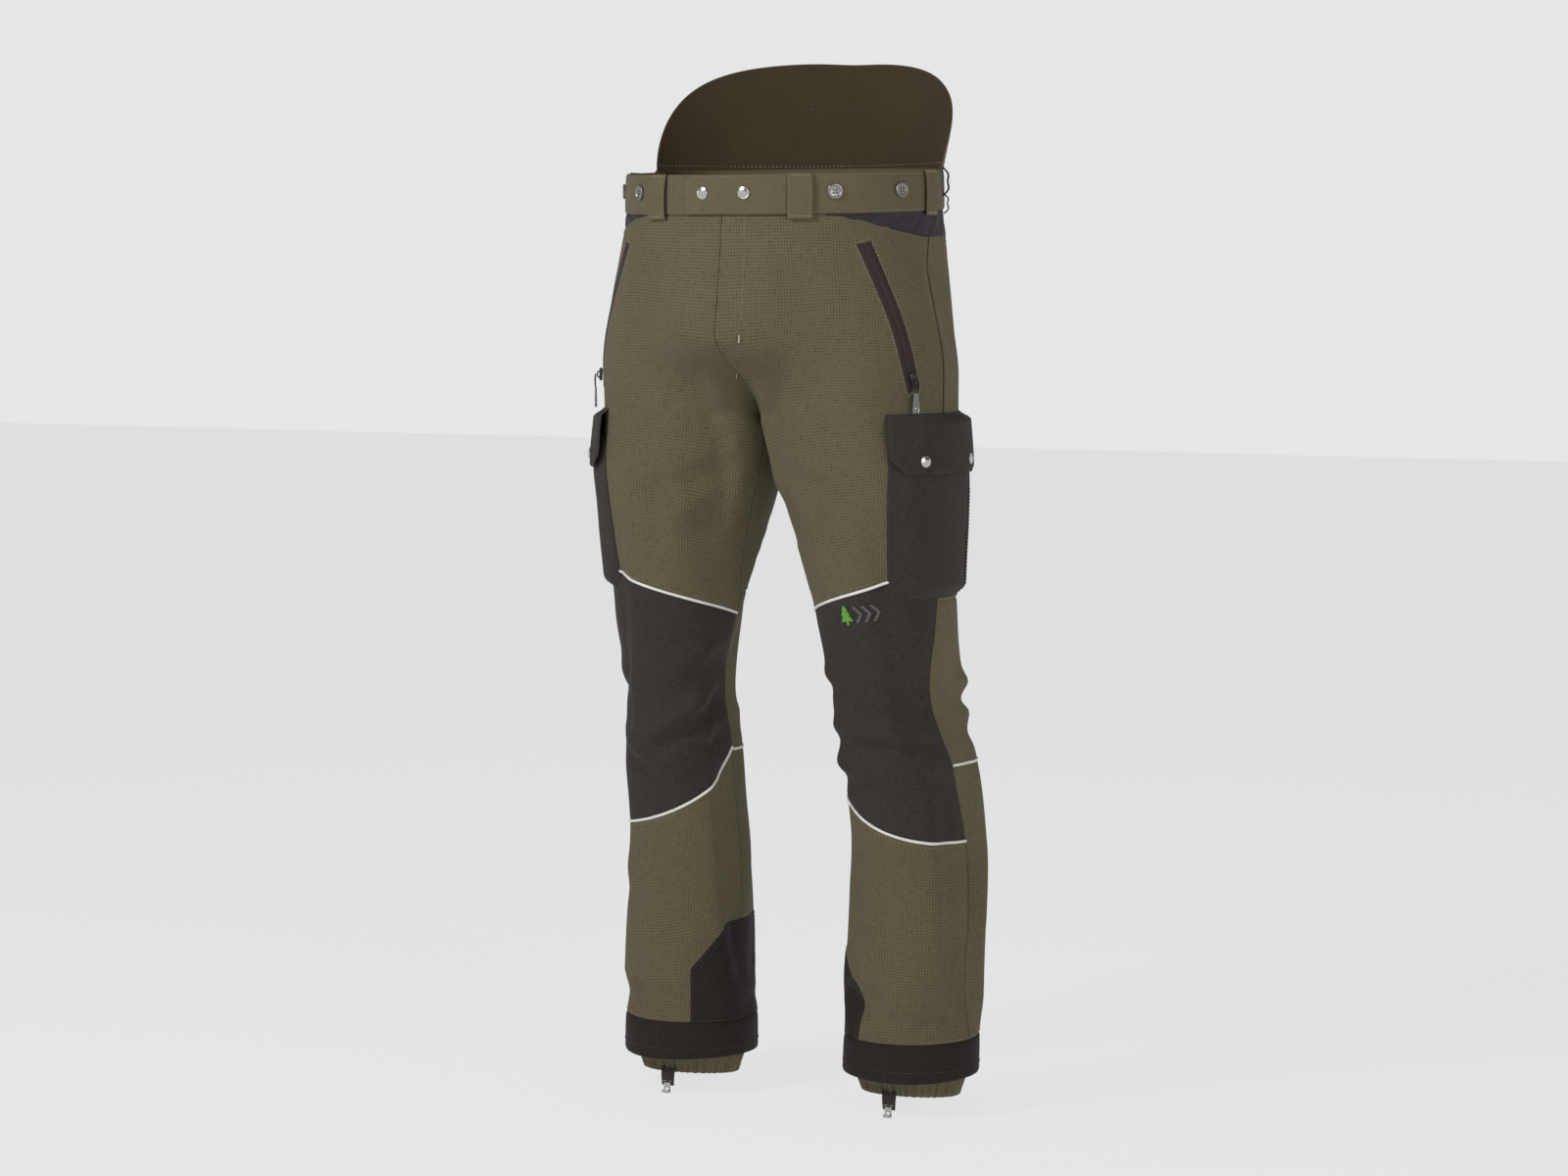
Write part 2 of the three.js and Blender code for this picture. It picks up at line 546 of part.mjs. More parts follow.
// The slider's body with a bail bar, in its own axes: +Y up the zip, +Z outward.
function slider() {
  const { width, length, height } = SLIDER;
  const outline = new THREE.Shape();
  outline.moveTo(-width * 0.32, -length / 2);
  outline.lineTo(width * 0.32, -length / 2);
  outline.lineTo(width / 2, length * 0.1);
  outline.lineTo(width / 2, length / 2);
  outline.lineTo(-width / 2, length / 2);
  outline.lineTo(-width / 2, length * 0.1);
  outline.closePath();
  const body = new THREE.ExtrudeGeometry(outline, { depth: height, bevelEnabled: false });
  const bail = new THREE.BoxGeometry(2.4, length * 0.55, 2.2).translate(0, 0, height + 1);
  return join(body, bail);
}
const ZIP_CLOSED = 0.06; // the slider stops this share of the zip from each end
const slideStart = onZip(ZIP_CLOSED);
slideStart.point.addScaledVector(slideStart.out, ZIP_TAPE_THICKNESS + LAYER_GAP);
addPair("hip_zip_slider", standOn(slider(), slideStart), MATERIAL.steel);

// The pull hangs plumb from the bail: a flat rubber tongue with a rounded end and an eye for its cord.
function pull() {
  const { width, length, thickness } = PULL;
  const outline = new THREE.Shape();
  outline.moveTo(-width * 0.25, 0);
  outline.lineTo(-width / 2, -length * 0.5);
  outline.lineTo(-width / 2, -length + width / 2);
  outline.absarc(0, -length + width / 2, width / 2, Math.PI, 2 * Math.PI);
  outline.lineTo(width / 2, -length * 0.5);
  outline.lineTo(width * 0.25, 0);
  outline.closePath();
  outline.holes.push(new THREE.Path().absarc(0, -length + width / 2, 1.6, 0, 2 * Math.PI, true));
  const g = new THREE.ExtrudeGeometry(outline, { depth: thickness, bevelEnabled: false, curveSegments: 4 });
  return g.translate(0, 0, -thickness / 2);
}
const BAIL_TOP = SLIDER.height + 2.1;
const PULL_STAND_OFF = BAIL_TOP + LAYER_GAP + PULL.thickness / 2 + 0.5; // slider's base to the pull's middle
const plumbOut = slideStart.out.clone().setZ(0).normalize();
const plumbUp = new THREE.Vector3(0, 0, 1);
const pullPivot = slideStart.point.clone().addScaledVector(slideStart.out, PULL_STAND_OFF);
const pullTurn = new THREE.Matrix4().makeBasis(plumbUp.clone().cross(plumbOut), plumbUp, plumbOut);
addPair("hip_zip_pull", standOn(pull(), { point: pullPivot, turn: pullTurn }), MATERIAL.rubber);

// The pocket bag hangs behind the zip, between the shell and the body.
const bagPoint = (u, v) => frontPoint(mix(0.34, 0.93, u), mix(ZIP_TOP.z + 4, CROTCH + 8, v));
const BAG = { outer: -6, inner: -8 };
addPair("hip_pocket_bag", sheet({ at: bagPoint, cols: 5, rows: 6, ...BAG }), MATERIAL.lining);

// ---------------------------------------------------------------- fly
// A straight zip behind the centre-front seam, leaning with the belly. It ends where that seam curves under.
const FLY_TAPE = { width: 30, thickness: 1 };
const FLY_CLEARANCE = 1.9; // panel to fly tape, past the panel's facets
const FLY_START = 14; // waistband to the top of the fly tape
const flyZipLength = BAND_BOTTOM - FLY_START - FRONT_SPLIT - 1;

const flySpot = (t, depth) =>
  hipPoint(0, BAND_BOTTOM - FLY_START - t * flyZipLength).add(new THREE.Vector3(0, depth, 0));
// How far the front lies behind the straight line from top to bottom, at a share of it and a place across.
const hollow = (t, x) => {
  const front = frontPoint(x / HIP_HALF_WIDTH, BAND_BOTTOM - FLY_START - t * flyZipLength);
  return front.y - mix(flySpot(0, 0).y, flySpot(1, 0).y, t);
};
const shares = Array.from({ length: 9 }, (_, i) => i / 8);
const flySag = Math.max(...shares.map((t) => Math.max(hollow(t, 0), hollow(t, FLY_TAPE.width / 2))));
const flyDepth = flySag + FLY_CLEARANCE + FLY_TAPE.thickness / 2;
const flyTop = flySpot(0, flyDepth);
const flyLow = flySpot(1, flyDepth);
const flyUp = flyTop.clone().sub(flyLow).normalize();
const flyOut = new THREE.Vector3(1, 0, 0).cross(flyUp);
const flyTurn = new THREE.Matrix4().makeBasis(new THREE.Vector3(1, 0, 0), flyUp, flyOut);
const flyMiddle = flyTop.clone().add(flyLow).multiplyScalar(0.5);
const flyTape = new THREE.BoxGeometry(FLY_TAPE.width, flyZipLength, FLY_TAPE.thickness);
addMesh(trousers, "fly_zip_tape", standOn(flyTape, { point: flyMiddle, turn: flyTurn }), MATERIAL.brown);
const flyRide = -(FLY_TAPE.thickness / 2 + LAYER_GAP + SLIDER.height / 2); // the slider runs on the inner side
const flyStart = flyTop.clone().addScaledVector(flyUp, -SLIDER.length * 0.6).addScaledVector(flyOut, flyRide);
const flySlider = new THREE.BoxGeometry(SLIDER.width, SLIDER.length, SLIDER.height);
addMesh(trousers, "fly_zip_slider", standOn(flySlider, { point: flyStart, turn: flyTurn }), MATERIAL.steel);

// ---------------------------------------------------------------- cargo pockets
const pocketLow = FABRIC + LAYER_GAP + 1.2; // past the facets of the panels under it
const pocketAngle = (u, inset) => mix(POCKET.front + inset, POCKET.back - inset, u);
const POCKET_BOTTOM = POCKET_TOP - POCKET_HEIGHT;
const thighPoint = (angle, z) => {
  const seam = outerSeam(z);
  return angle <= seam
    ? frontPoint((angle - innerSeam(z)) / (seam - innerSeam(z)), z)
    : backPoint((angle - seam) / (360 + innerSeam(z) - seam), z);
};
// Under the flap the mouth drops towards both corners, so that the flap's corners turn clear of them.
const mouth = (u) => POCKET_TOP - MOUTH_DROP * between(Math.abs(2 * u - 1), 0.33, 1);
function pocketBlock(inset, low, high, top, bottom) {
  return sheet({
    at: (u, v) => thighPoint(pocketAngle(u, inset), mix(top(u), bottom, v)),
    cols: 6, rows: 4, inner: low, outer: high,
  });
}
const pocketOuter = pocketBlock(0, pocketLow, pocketLow + POCKET_DEPTH, mouth, POCKET_BOTTOM);
const pocketHollow = pocketBlock(
  0.9, pocketLow - 3, pocketLow + POCKET_DEPTH - POCKET_WALL, () => POCKET_TOP + 6, POCKET_BOTTOM + POCKET_WALL,
);
addPair("cargo_pocket", subtract(pocketOuter, pocketHollow), MATERIAL.charcoal);

// The flap is sewn to the leg above the mouth, steps out over it and hangs in front.
const flapRise = (v) => pocketLow + (POCKET_DEPTH + LAYER_GAP + 1) * ease(v / 0.13);
const flapDrop = (u) => FLAP_HEIGHT - FLAP_CORNER * (1 - ease(Math.min(u, 1 - u) / 0.16));
const flap = sheet({
  at: (u, v) => thighPoint(mix(POCKET.front - 1, POCKET.back + 1, u), FLAP_TOP - v * flapDrop(u)),
  cols: 10, rows: 8, inner: (u, v) => flapRise(v), outer: (u, v) => flapRise(v) + FLAP_THICKNESS,
});
addPair("cargo_flap", flap, MATERIAL.charcoal);

// ---------------------------------------------------------------- lower leg
// Hard-wearing patch inside the ankle, over the inseam. It is five-sided.
const patchTop = (angle) =>
  mix(ANKLE_PATCH.corner, ANKLE_PATCH.top, between(angle, ANKLE_PATCH.front, ANKLE_PATCH.shoulder));
const ankleAt = (u, v) => {
  const angle = mix(ANKLE_PATCH.back, ANKLE_PATCH.front, u);
  return legPoint(angle, mix(patchTop(angle), BAND_TOP + 1, v));
};
const patchLow = FABRIC + LAYER_GAP + 0.5;
const ankle = sheet({ at: ankleAt, cols: 10, rows: 2, inner: patchLow, outer: patchLow + 0.9 });
addPair("ankle_patch", ankle, MATERIAL.brown);

// The gaiter is sewn inside the leg and gathers on elastic below the hem, lower at the heel.
const GAITER_SEAM_OFFSET = -LAYER_GAP; // inside the hem band
function gaiterPoint(u, v) {
  const angle = u * 360;
  const top = HEM + 24;
  const bottom = HEM - GAITER_DROP - 6 * (-Math.cos(rad(angle)));
  const z = mix(top, bottom, v);
  const s = legSection(z);
  const shrink = mix(s.wide + GAITER_SEAM_OFFSET, GAITER_HALF_WIDTH, ease(v / 0.85)) / s.wide;
  return new THREE.Vector3(
    s.x + s.wide * shrink * Math.sin(rad(angle)), s.y - s.deep * shrink * Math.cos(rad(angle)), z,
  );
}
const gaiter = sheet({ at: gaiterPoint, cols: 16, rows: 3, inner: -GAITER_THICKNESS, outer: 0, ring: true });
addPair("gaiter", gaiter, MATERIAL.ripstop);

// Lace tab and hook at the front of the gaiter. The tab hangs from the gaiter's edge.
const gaiterFront = gaiterPoint(0, 1);
const tabTop = new THREE.Vector3(gaiterFront.x, gaiterFront.y - LAYER_GAP, gaiterFront.z + 5);
const laceTab = new THREE.BoxGeometry(LACE_TAB.width, LACE_TAB.thickness, LACE_TAB.length);
const laceTabMiddle = tabTop.clone().add(new THREE.Vector3(0, -LACE_TAB_STAND_OFF - LACE_TAB.thickness / 2, 0));
laceTab.translate(laceTabMiddle.x, laceTabMiddle.y, laceTabMiddle.z - LACE_TAB.length / 2);
addPair("lace_tab", laceTab, MATERIAL.charcoal);

// An open hook of flat wire: a plate behind the tab, a drop and a lip.
function laceHook() {
  const { width, length, reach, wire } = LACE_HOOK;
  const side = new THREE.Shape();
  side.moveTo(0, 0);
  side.lineTo(wire, 0);
  side.lineTo(wire, -length + wire);
  side.lineTo(reach - wire, -length + wire);
  side.lineTo(reach - wire, -length * 0.55);
  side.lineTo(reach, -length * 0.55);
  side.lineTo(reach, -length);
  side.lineTo(0, -length);
  side.closePath();
  const hook = new THREE.ExtrudeGeometry(side, { depth: width, bevelEnabled: false });
  return hook.rotateX(Math.PI / 2).rotateZ(-Math.PI / 2);
}
const hook = laceHook();
hook.computeBoundingBox();
const hookBox = hook.boundingBox;
hook.translate(
  tabTop.x - (hookBox.min.x + hookBox.max.x) / 2,
  tabTop.y - LACE_TAB_STAND_OFF - LACE_TAB.thickness - LAYER_GAP - hookBox.max.y,
  tabTop.z - LACE_TAB.length + 4 - hookBox.max.z,
);
addPair("lace_hook", hook, MATERIAL.steel);

// ---------------------------------------------------------------- joint places, on the left side
const flapMiddle = (POCKET.front + POCKET.back) / 2;
const flapOut = new THREE.Vector3(Math.sin(rad(flapMiddle)), -Math.cos(rad(flapMiddle)), 0);
const tabHinge = onWaistband(TAB.hinge, 0.5, TAB.low + TAB_THICKNESS / 2);
const kneeSection = legSection(KNEE);
trousers.userData.joints = {
  kidney: [0, WAIST_HALF_DEPTH + KIDNEY_THICKNESS + LAYER_GAP, WAIST_TILT + SEAM_GAP],
  waist_tab: tabHinge.point.toArray(),
  hip_zip: { centre: zipArc.centre.toArray(), axis: zipArc.axis.toArray(), sweep: zipArc.sweep },
  hip_zip_pull: { pivot: pullPivot.toArray(), out: plumbOut.toArray() },
  fly_zip: { up: flyUp.toArray(), travel: flyZipLength - SLIDER.length * 1.2 },
  cargo_flap: {
    pivot: thighPoint(flapMiddle, FLAP_TOP).addScaledVector(flapOut, pocketLow + FLAP_THICKNESS).toArray(),
    out: flapOut.toArray(),
  },
  knee: [kneeSection.x, kneeSection.y, KNEE],
  lace_tab: laceTabMiddle.toArray(),
};

export default trousers;
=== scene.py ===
"""Chainsaw protective trousers: the garment's cloth, seams and hardware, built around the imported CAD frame.

Lengths in this file are millimetres and are turned to metres where a mesh is made.
Each half is cut from one flat system: u runs across a panel from 0 to 1 and z down the garment.
"""

import json
import math

import bmesh
import bpy
import numpy as np
from mathutils import Matrix, Vector


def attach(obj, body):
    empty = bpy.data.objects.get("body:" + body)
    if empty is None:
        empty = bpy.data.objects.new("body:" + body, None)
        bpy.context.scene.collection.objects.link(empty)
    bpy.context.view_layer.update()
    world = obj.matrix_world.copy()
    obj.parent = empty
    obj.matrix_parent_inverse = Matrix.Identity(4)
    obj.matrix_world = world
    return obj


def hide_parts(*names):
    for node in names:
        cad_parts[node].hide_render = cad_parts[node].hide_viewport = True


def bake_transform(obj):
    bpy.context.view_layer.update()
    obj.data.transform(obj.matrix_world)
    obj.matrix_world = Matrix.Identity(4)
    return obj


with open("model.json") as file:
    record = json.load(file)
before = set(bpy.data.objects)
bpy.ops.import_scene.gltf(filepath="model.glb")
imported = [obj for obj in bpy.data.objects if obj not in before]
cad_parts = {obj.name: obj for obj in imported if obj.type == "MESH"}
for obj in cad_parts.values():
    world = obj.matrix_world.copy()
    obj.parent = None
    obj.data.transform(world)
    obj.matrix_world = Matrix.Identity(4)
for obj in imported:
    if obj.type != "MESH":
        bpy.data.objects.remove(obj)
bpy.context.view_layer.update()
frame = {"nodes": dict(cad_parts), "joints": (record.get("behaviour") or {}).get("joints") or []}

MM = 0.001
SIDES = {"left": 1, "right": -1}

# ---------------------------------------- the garment's sizes, as in the CAD model
WAIST = (186, 150)  # half width and half depth of the waist
HIPS = (214, 163)
HIPS_FORWARD = 12
RISE = 285
INSEAM = 755
CROTCH = -RISE
HEM = CROTCH - INSEAM
KNEE = HEM + 440
BAND = 45  # waistband
BAND_THICKNESS = 3
WAIST_TILT = 6
HIP_SEAM = 85
FABRIC = 1.5
HEM_BAND = 44
KNEE_BACK = (KNEE + 115, KNEE - 76)
POCKET = {"front": 42, "back": 120, "top": CROTCH + 4, "height": 200, "depth": 11}
FLAP_TOP = CROTCH + 13

HIP_ROWS = np.array([
    (0.0, 1.0, 1.0, 1.0),
    (0.23, 0.98, 1.0, 0.85),
    (0.49, 0.62, 0.6, 0.45),
    (0.79, 0.1, 0.1, 0.05),
    (1.0, 0.0, 0.0, 0.0),
])
LEG_ROWS = np.array([
    (0.0, 107, -10, 104, 116),
    (0.08, 115, -13, 100, 110),
    (0.2, 127, -8, 84, 93),
    (0.29, 133, 0, 76.5, 84),
    (0.42, 142, 11, 70, 76),
    (0.5, 146, 28, 73.5, 79),
    (0.6, 148.5, 45, 73, 78),
    (0.69, 148, 51, 76, 78),
    (0.85, 146, 45, 76.5, 77),
    (1.0, 145, 41, 77.5, 78),
])
SEAM_ROWS = np.array([(-170, 85), (-90, 71), (0, 63), (76, 73), (160, 82), (240, 85)], float)


def mix(a, b, t):
    return a + (b - a) * t


def between(x, low, high):
    return np.clip((np.asarray(x, float) - low) / (high - low), 0, 1)


def ease(t):
    t = np.clip(t, 0, 1)
    return t * t * (3 - 2 * t)


def bump(x, centre, width):
    return np.exp(-(((x - centre) / width) ** 2))


def smooth_row(rows, place):
    """A smooth curve through rows of (place, value, ...), read at places."""
    place = np.asarray(place, float)
    k = np.clip(np.searchsorted(rows[:, 0], place, side="right") - 1, 0, len(rows) - 2)
    a, b = rows[k], rows[k + 1]
    before, after = rows[np.maximum(k - 1, 0)], rows[np.minimum(k + 2, len(rows) - 1)]
    width = (b[..., 0] - a[..., 0])
    s = np.clip((place - a[..., 0]) / width, 0, 1)
    out = []
    for i in range(1, rows.shape[1]):
        slope_a = (b[..., i] - before[..., i]) / (b[..., 0] - before[..., 0]) * width
        slope_b = (after[..., i] - a[..., i]) / (after[..., 0] - a[..., 0]) * width
        out.append(a[..., i] * (2 * s**3 - 3 * s**2 + 1) + slope_a * (s**3 - 2 * s**2 + s)
                   + b[..., i] * (3 * s**2 - 2 * s**3) + slope_b * (s**3 - s**2))
    return out


def hip_point(angle, z):
    wide, deep, forward = smooth_row(HIP_ROWS, 1 + np.minimum(z, 0) / RISE)
    a, b, turn = mix(WAIST[0], HIPS[0], wide), mix(WAIST[1], HIPS[1], deep), np.radians(angle)
    return np.stack([a * np.sin(turn), -forward * HIPS_FORWARD - b * np.cos(turn), z + 0 * turn], -1)


def leg_section(z):
    return smooth_row(LEG_ROWS, np.clip((CROTCH - z) / INSEAM, 0, 1))


def leg_point(angle, z):
    x, y, wide, deep = leg_section(z)
    turn = np.radians(angle)
    return np.stack([x + wide * np.sin(turn), y - deep * np.cos(turn), z + 0 * turn], -1)


def outer_seam(z):
    return smooth_row(SEAM_ROWS, np.clip(KNEE - z, -170, 240))[0]


def inner_seam(z):
    return mix(-75, -85, between(z, CROTCH, KNEE + 40))


def leg_share(z, split, centre):
    side = ease(between(-z, -(CROTCH + 135), -CROTCH))
    return mix(side, ease(between(-z, -split, -CROTCH)), centre)


def waist_top(angle):
    return -WAIST_TILT * np.cos(np.radians(angle))


# ---------------------------------------------------------------- the garment's surface
FRONT_SPLIT, BACK_SPLIT, CROTCH_EASE = CROTCH + 107, CROTCH + 75, 30


def close_crotch(point, z, share, centre):
    apart = leg_point(np.float64(inner_seam(CROTCH)), np.float64(CROTCH))[0]
    part = np.where(z > CROTCH, share, np.exp(np.minimum(z - CROTCH, 0) / CROTCH_EASE))
    point[..., 0] -= apart * part * centre**2
    return point


def leg_angle(half, u, z):
    if half == "front":
        return mix(inner_seam(z), outer_seam(z), u)
    return mix(outer_seam(z), 360 + inner_seam(z), u)


def plain(half, u, z):
    """The left half without folds, from the front middle or inseam (u = 0) round to the back one (u = 1)."""
    u, z = np.broadcast_arrays(np.asarray(u, float), np.asarray(z, float))
    centre = 1 - u if half == "front" else u
    share = leg_share(z, FRONT_SPLIT if half == "front" else BACK_SPLIT, centre)
    turn = u * HIP_SEAM if half == "front" else mix(HIP_SEAM, 180, u)
    point = mix(hip_point(turn, z), leg_point(leg_angle(half, u, z), z), share[..., None])
    return close_crotch(point, z, share, centre)


def across_down(surface, u, z, du=2e-3, dz=1.0):
    """Outward normals of a surface whose u runs towards the wearer's left in front and whose z runs up."""
    side = surface(np.clip(u + du, 0, 1), z) - surface(np.clip(u - du, 0, 1), z)
    out = np.cross(side, surface(u, z + dz) - surface(u, z - dz))
    return out / np.linalg.norm(out, axis=-1, keepdims=True)


# Folds by side: (angle, z) at both ends, half width and depth. A ridge has a hollow under it.
FOLDS = {
    "left": [
        (-62, KNEE - 30, 60, KNEE - 34, 11, 8),
        (-30, KNEE + 45, 22, KNEE - 12, 10, 6.5),
        (-70, KNEE - 66, 10, KNEE - 92, 12, 6.5),
        (30, KNEE - 62, 75, KNEE - 88, 12, 5.1),
        (-60, KNEE + 36, -10, KNEE + 14, 11, 5.1),
        (100, KNEE + 20, 170, KNEE + 6, 12, 7.2),
        (110, KNEE - 22, 240, KNEE - 30, 13, 8),
        (-60, CROTCH - 20, 20, CROTCH - 62, 16, 3.5),
        (-70, CROTCH - 58, -10, CROTCH - 110, 16, 3),
        (140, CROTCH - 40, 250, CROTCH - 20, 16, 4),
        (20, HEM + 210, 90, HEM + 170, 18, 2.5),
        (-60, HEM + 130, 30, HEM + 96, 20, 2.2),
    ],
    "right": [
        (-74, KNEE + 10, 14, KNEE - 62, 12, 8.7),
        (44, KNEE - 52, -24, KNEE - 92, 11, 7.2),
        (-76, KNEE - 40, -20, KNEE - 60, 10, 5.8),
        (70, KNEE + 30, 10, KNEE - 4, 14, 4.6),
        (-70, KNEE + 58, -20, KNEE + 30, 13, 4.3),
        (100, KNEE + 16, 170, KNEE + 2, 12, 7.2),
        (110, KNEE - 28, 240, KNEE - 34, 13, 8),
        (-60, CROTCH - 26, 24, CROTCH - 70, 16, 3.5),
        (-70, CROTCH - 66, -6, CROTCH - 120, 16, 3),
        (140, CROTCH - 44, 250, CROTCH - 24, 16, 4),
        (60, HEM + 230, -10, HEM + 200, 18, 2.5),
        (-60, HEM + 160, 20, HEM + 120, 20, 2.2),
    ],
}
FOLD_RADIUS = 78  # the leg's, to turn angles to lengths
DARTS = {"left": [(14, KNEE - 16, 54, KNEE + 8), (20, KNEE - 76, 66, KNEE - 74)],
         "right": [(-30, KNEE - 50, -80, KNEE - 46)]}


def from_line(angle, z, line):
    """Distance of places on the leg from a line on it, the share along it, and which side they are on."""
    ax, az = math.radians(line[0]) * FOLD_RADIUS, line[1]
    bx, bz = math.radians(line[2]) * FOLD_RADIUS, line[3]
    px = np.radians(angle) * FOLD_RADIUS
    lx, lz = bx - ax, bz - az
    along = np.clip(((px - ax) * lx + (z - az) * lz) / (lx * lx + lz * lz), 0, 1)
    dx, dz = px - ax - along * lx, z - az - along * lz
    return np.hypot(dx, dz), along, np.sign(dz)


def folds(side, half, u, z):
    angle = leg_angle(half, u, z)
    angle = np.where(angle > 275, angle - 360, angle)
    height = np.zeros(np.broadcast(u, z).shape)
    for line in FOLDS[side]:
        for turn in (0, 360):
            away, along, under = from_line(angle + turn, z, line)
            taper = np.sin(np.pi * np.clip(along, 0.02, 0.98)) ** 0.7
            t = away / line[4]
            trough = t * np.where(under < 0, 1, -1) - 1.5
            height += line[5] * taper * (np.exp(-t * t) - 0.75 * np.exp(-(trough**2)))
    for dart in DARTS[side]:
        away, along, _ = from_line(angle, z, dart)
        height -= 1.6 * np.exp(-((away / 2.2) ** 2))
    for line, reach in ((BAND_LINE, 18), (HEM_LINE, 30)):
        height = height * ease(np.abs(z - line) / reach)
    return height


BAND_LINE, HEM_LINE = -BAND, HEM
DRAPE_ROWS, DRAPE_COLS = 108, 22
DRAPE_Z = np.linspace(-BAND, HEM, DRAPE_ROWS)
DRAPE = {(side, half): np.zeros((DRAPE_COLS + 1, DRAPE_ROWS)) for side in SIDES for half in ("front", "back")}
DRAPE_CAP, DRAPE_OUT = 9, 3.5  # the cloth may settle this far in and out from the cut shape


def drape_height(side, half, u, z):
    """The settled cloth's height over the cut shape, by cubic interpolation of its grid."""
    grid = DRAPE[side, half]
    u, z = np.broadcast_arrays(np.asarray(u, float), np.asarray(z, float))
    total = np.zeros(u.shape)
    places = []
    row = between(-z, BAND, -HEM) * (DRAPE_ROWS - 1)
    for value, size in ((u * DRAPE_COLS, DRAPE_COLS + 1), (row, DRAPE_ROWS)):
        k = np.clip(np.floor(value).astype(int), 0, size - 2)
        t = value - k
        weights = (-0.5 * t + t**2 - 0.5 * t**3, 1 - 2.5 * t**2 + 1.5 * t**3,
                   0.5 * t + 2 * t**2 - 1.5 * t**3, -0.5 * t**2 + 0.5 * t**3)
        places.append([(np.clip(k + i - 1, 0, size - 1), w) for i, w in enumerate(weights)])
    for i, wi in places[0]:
        for j, wj in places[1]:
            total += wi * wj * grid[i, j]
    return total


def cloth_point(side, half, u, z, lift=0.0):
    """A place on the garment with its folds, lifted outwards, and the outward normal of the cut."""
    point, out = plain(half, u, z), across_down(lambda a, b: plain(half, a, b), u, z)
    height = folds(side, half, u, z) + drape_height(side, half, u, z) + lift
    point = point + out * height[..., None]
    mirror = np.array([SIDES[side], 1, 1])
    return point * mirror, out * mirror


def leg_cloth(side, angle, z, lift=0.0):
    """As cloth_point, for arrays of angles round the leg."""
    angle, z = np.broadcast_arrays(np.asarray(angle, float), np.asarray(z, float))
    seam, start = outer_seam(z), inner_seam(z)
    lift = np.broadcast_to(np.asarray(lift, float), angle.shape)
    front = cloth_point(side, "front", np.clip((angle - start) / (seam - start), 0, 1), z, lift)
    back = cloth_point(side, "back", np.clip((angle - seam) / (360 + start - seam), 0, 1), z, lift)
    on_front = (angle <= seam)[..., None]
    return np.where(on_front, front[0], back[0]), np.where(on_front, front[1], back[1])


ZIP_ENDS = ((0.83, -243), (0.6, -84))  # foot and top of a hip zip: share across the front, height
CLOTH_WIDTH = 250  # about, in mm, from the middle to the side seam
FLY_FOOT = -185
SEWN_FLAT = {"waist": (8, 60), "hem": (30, 70), "zip": (44, 50),
             "fly": (34, 50)}  # held up to, loose over the next
POCKET_HOLD = ((2, 38), (156, 30), (-600, 90), (-180, 60))  # front, rear, foot, mouth: from, over the next
POCKET_GRIP = 0.94
SETTLE_FRAMES = 26
WELD = 0.4  # mm, within which corners of the two halves are one


def let_go(away, seam):
    """0 beside a sewn line, rising to 1 away from it."""
    flat, rise = SEWN_FLAT[seam]
    return ease((away - flat) / rise)


def loose(half, u, z):
    """How freely each place may settle: hem, waist, fly, zips and pockets hold the cloth."""
    (foot_share, foot), (top_share, top) = ZIP_ENDS
    angle = leg_angle(half, u, z)
    across = (u + (half == "back")) * CLOTH_WIDTH
    zip_across = (top_share + (top - z) / (top - foot) * (foot_share - top_share)) * CLOTH_WIDTH
    past = np.maximum(np.maximum(z - top, foot - z), 0)
    free = let_go(-BAND - z, "waist") * let_go(z - HEM, "hem")
    free = free * let_go(np.hypot(across - zip_across, past), "zip")
    if half == "front":
        free = free * let_go(np.hypot(across, np.maximum(FLY_FOOT - z, 0)), "fly")
    front, rear, low, mouth = POCKET_HOLD
    by_pocket = (ease((angle - front[0]) / front[1]) * ease((rear[0] - angle) / rear[1])
                 * ease((z - low[0]) / low[1]) * ease((mouth[0] - z) / mouth[1]))
    return free * (1 - POCKET_GRIP * by_pocket)


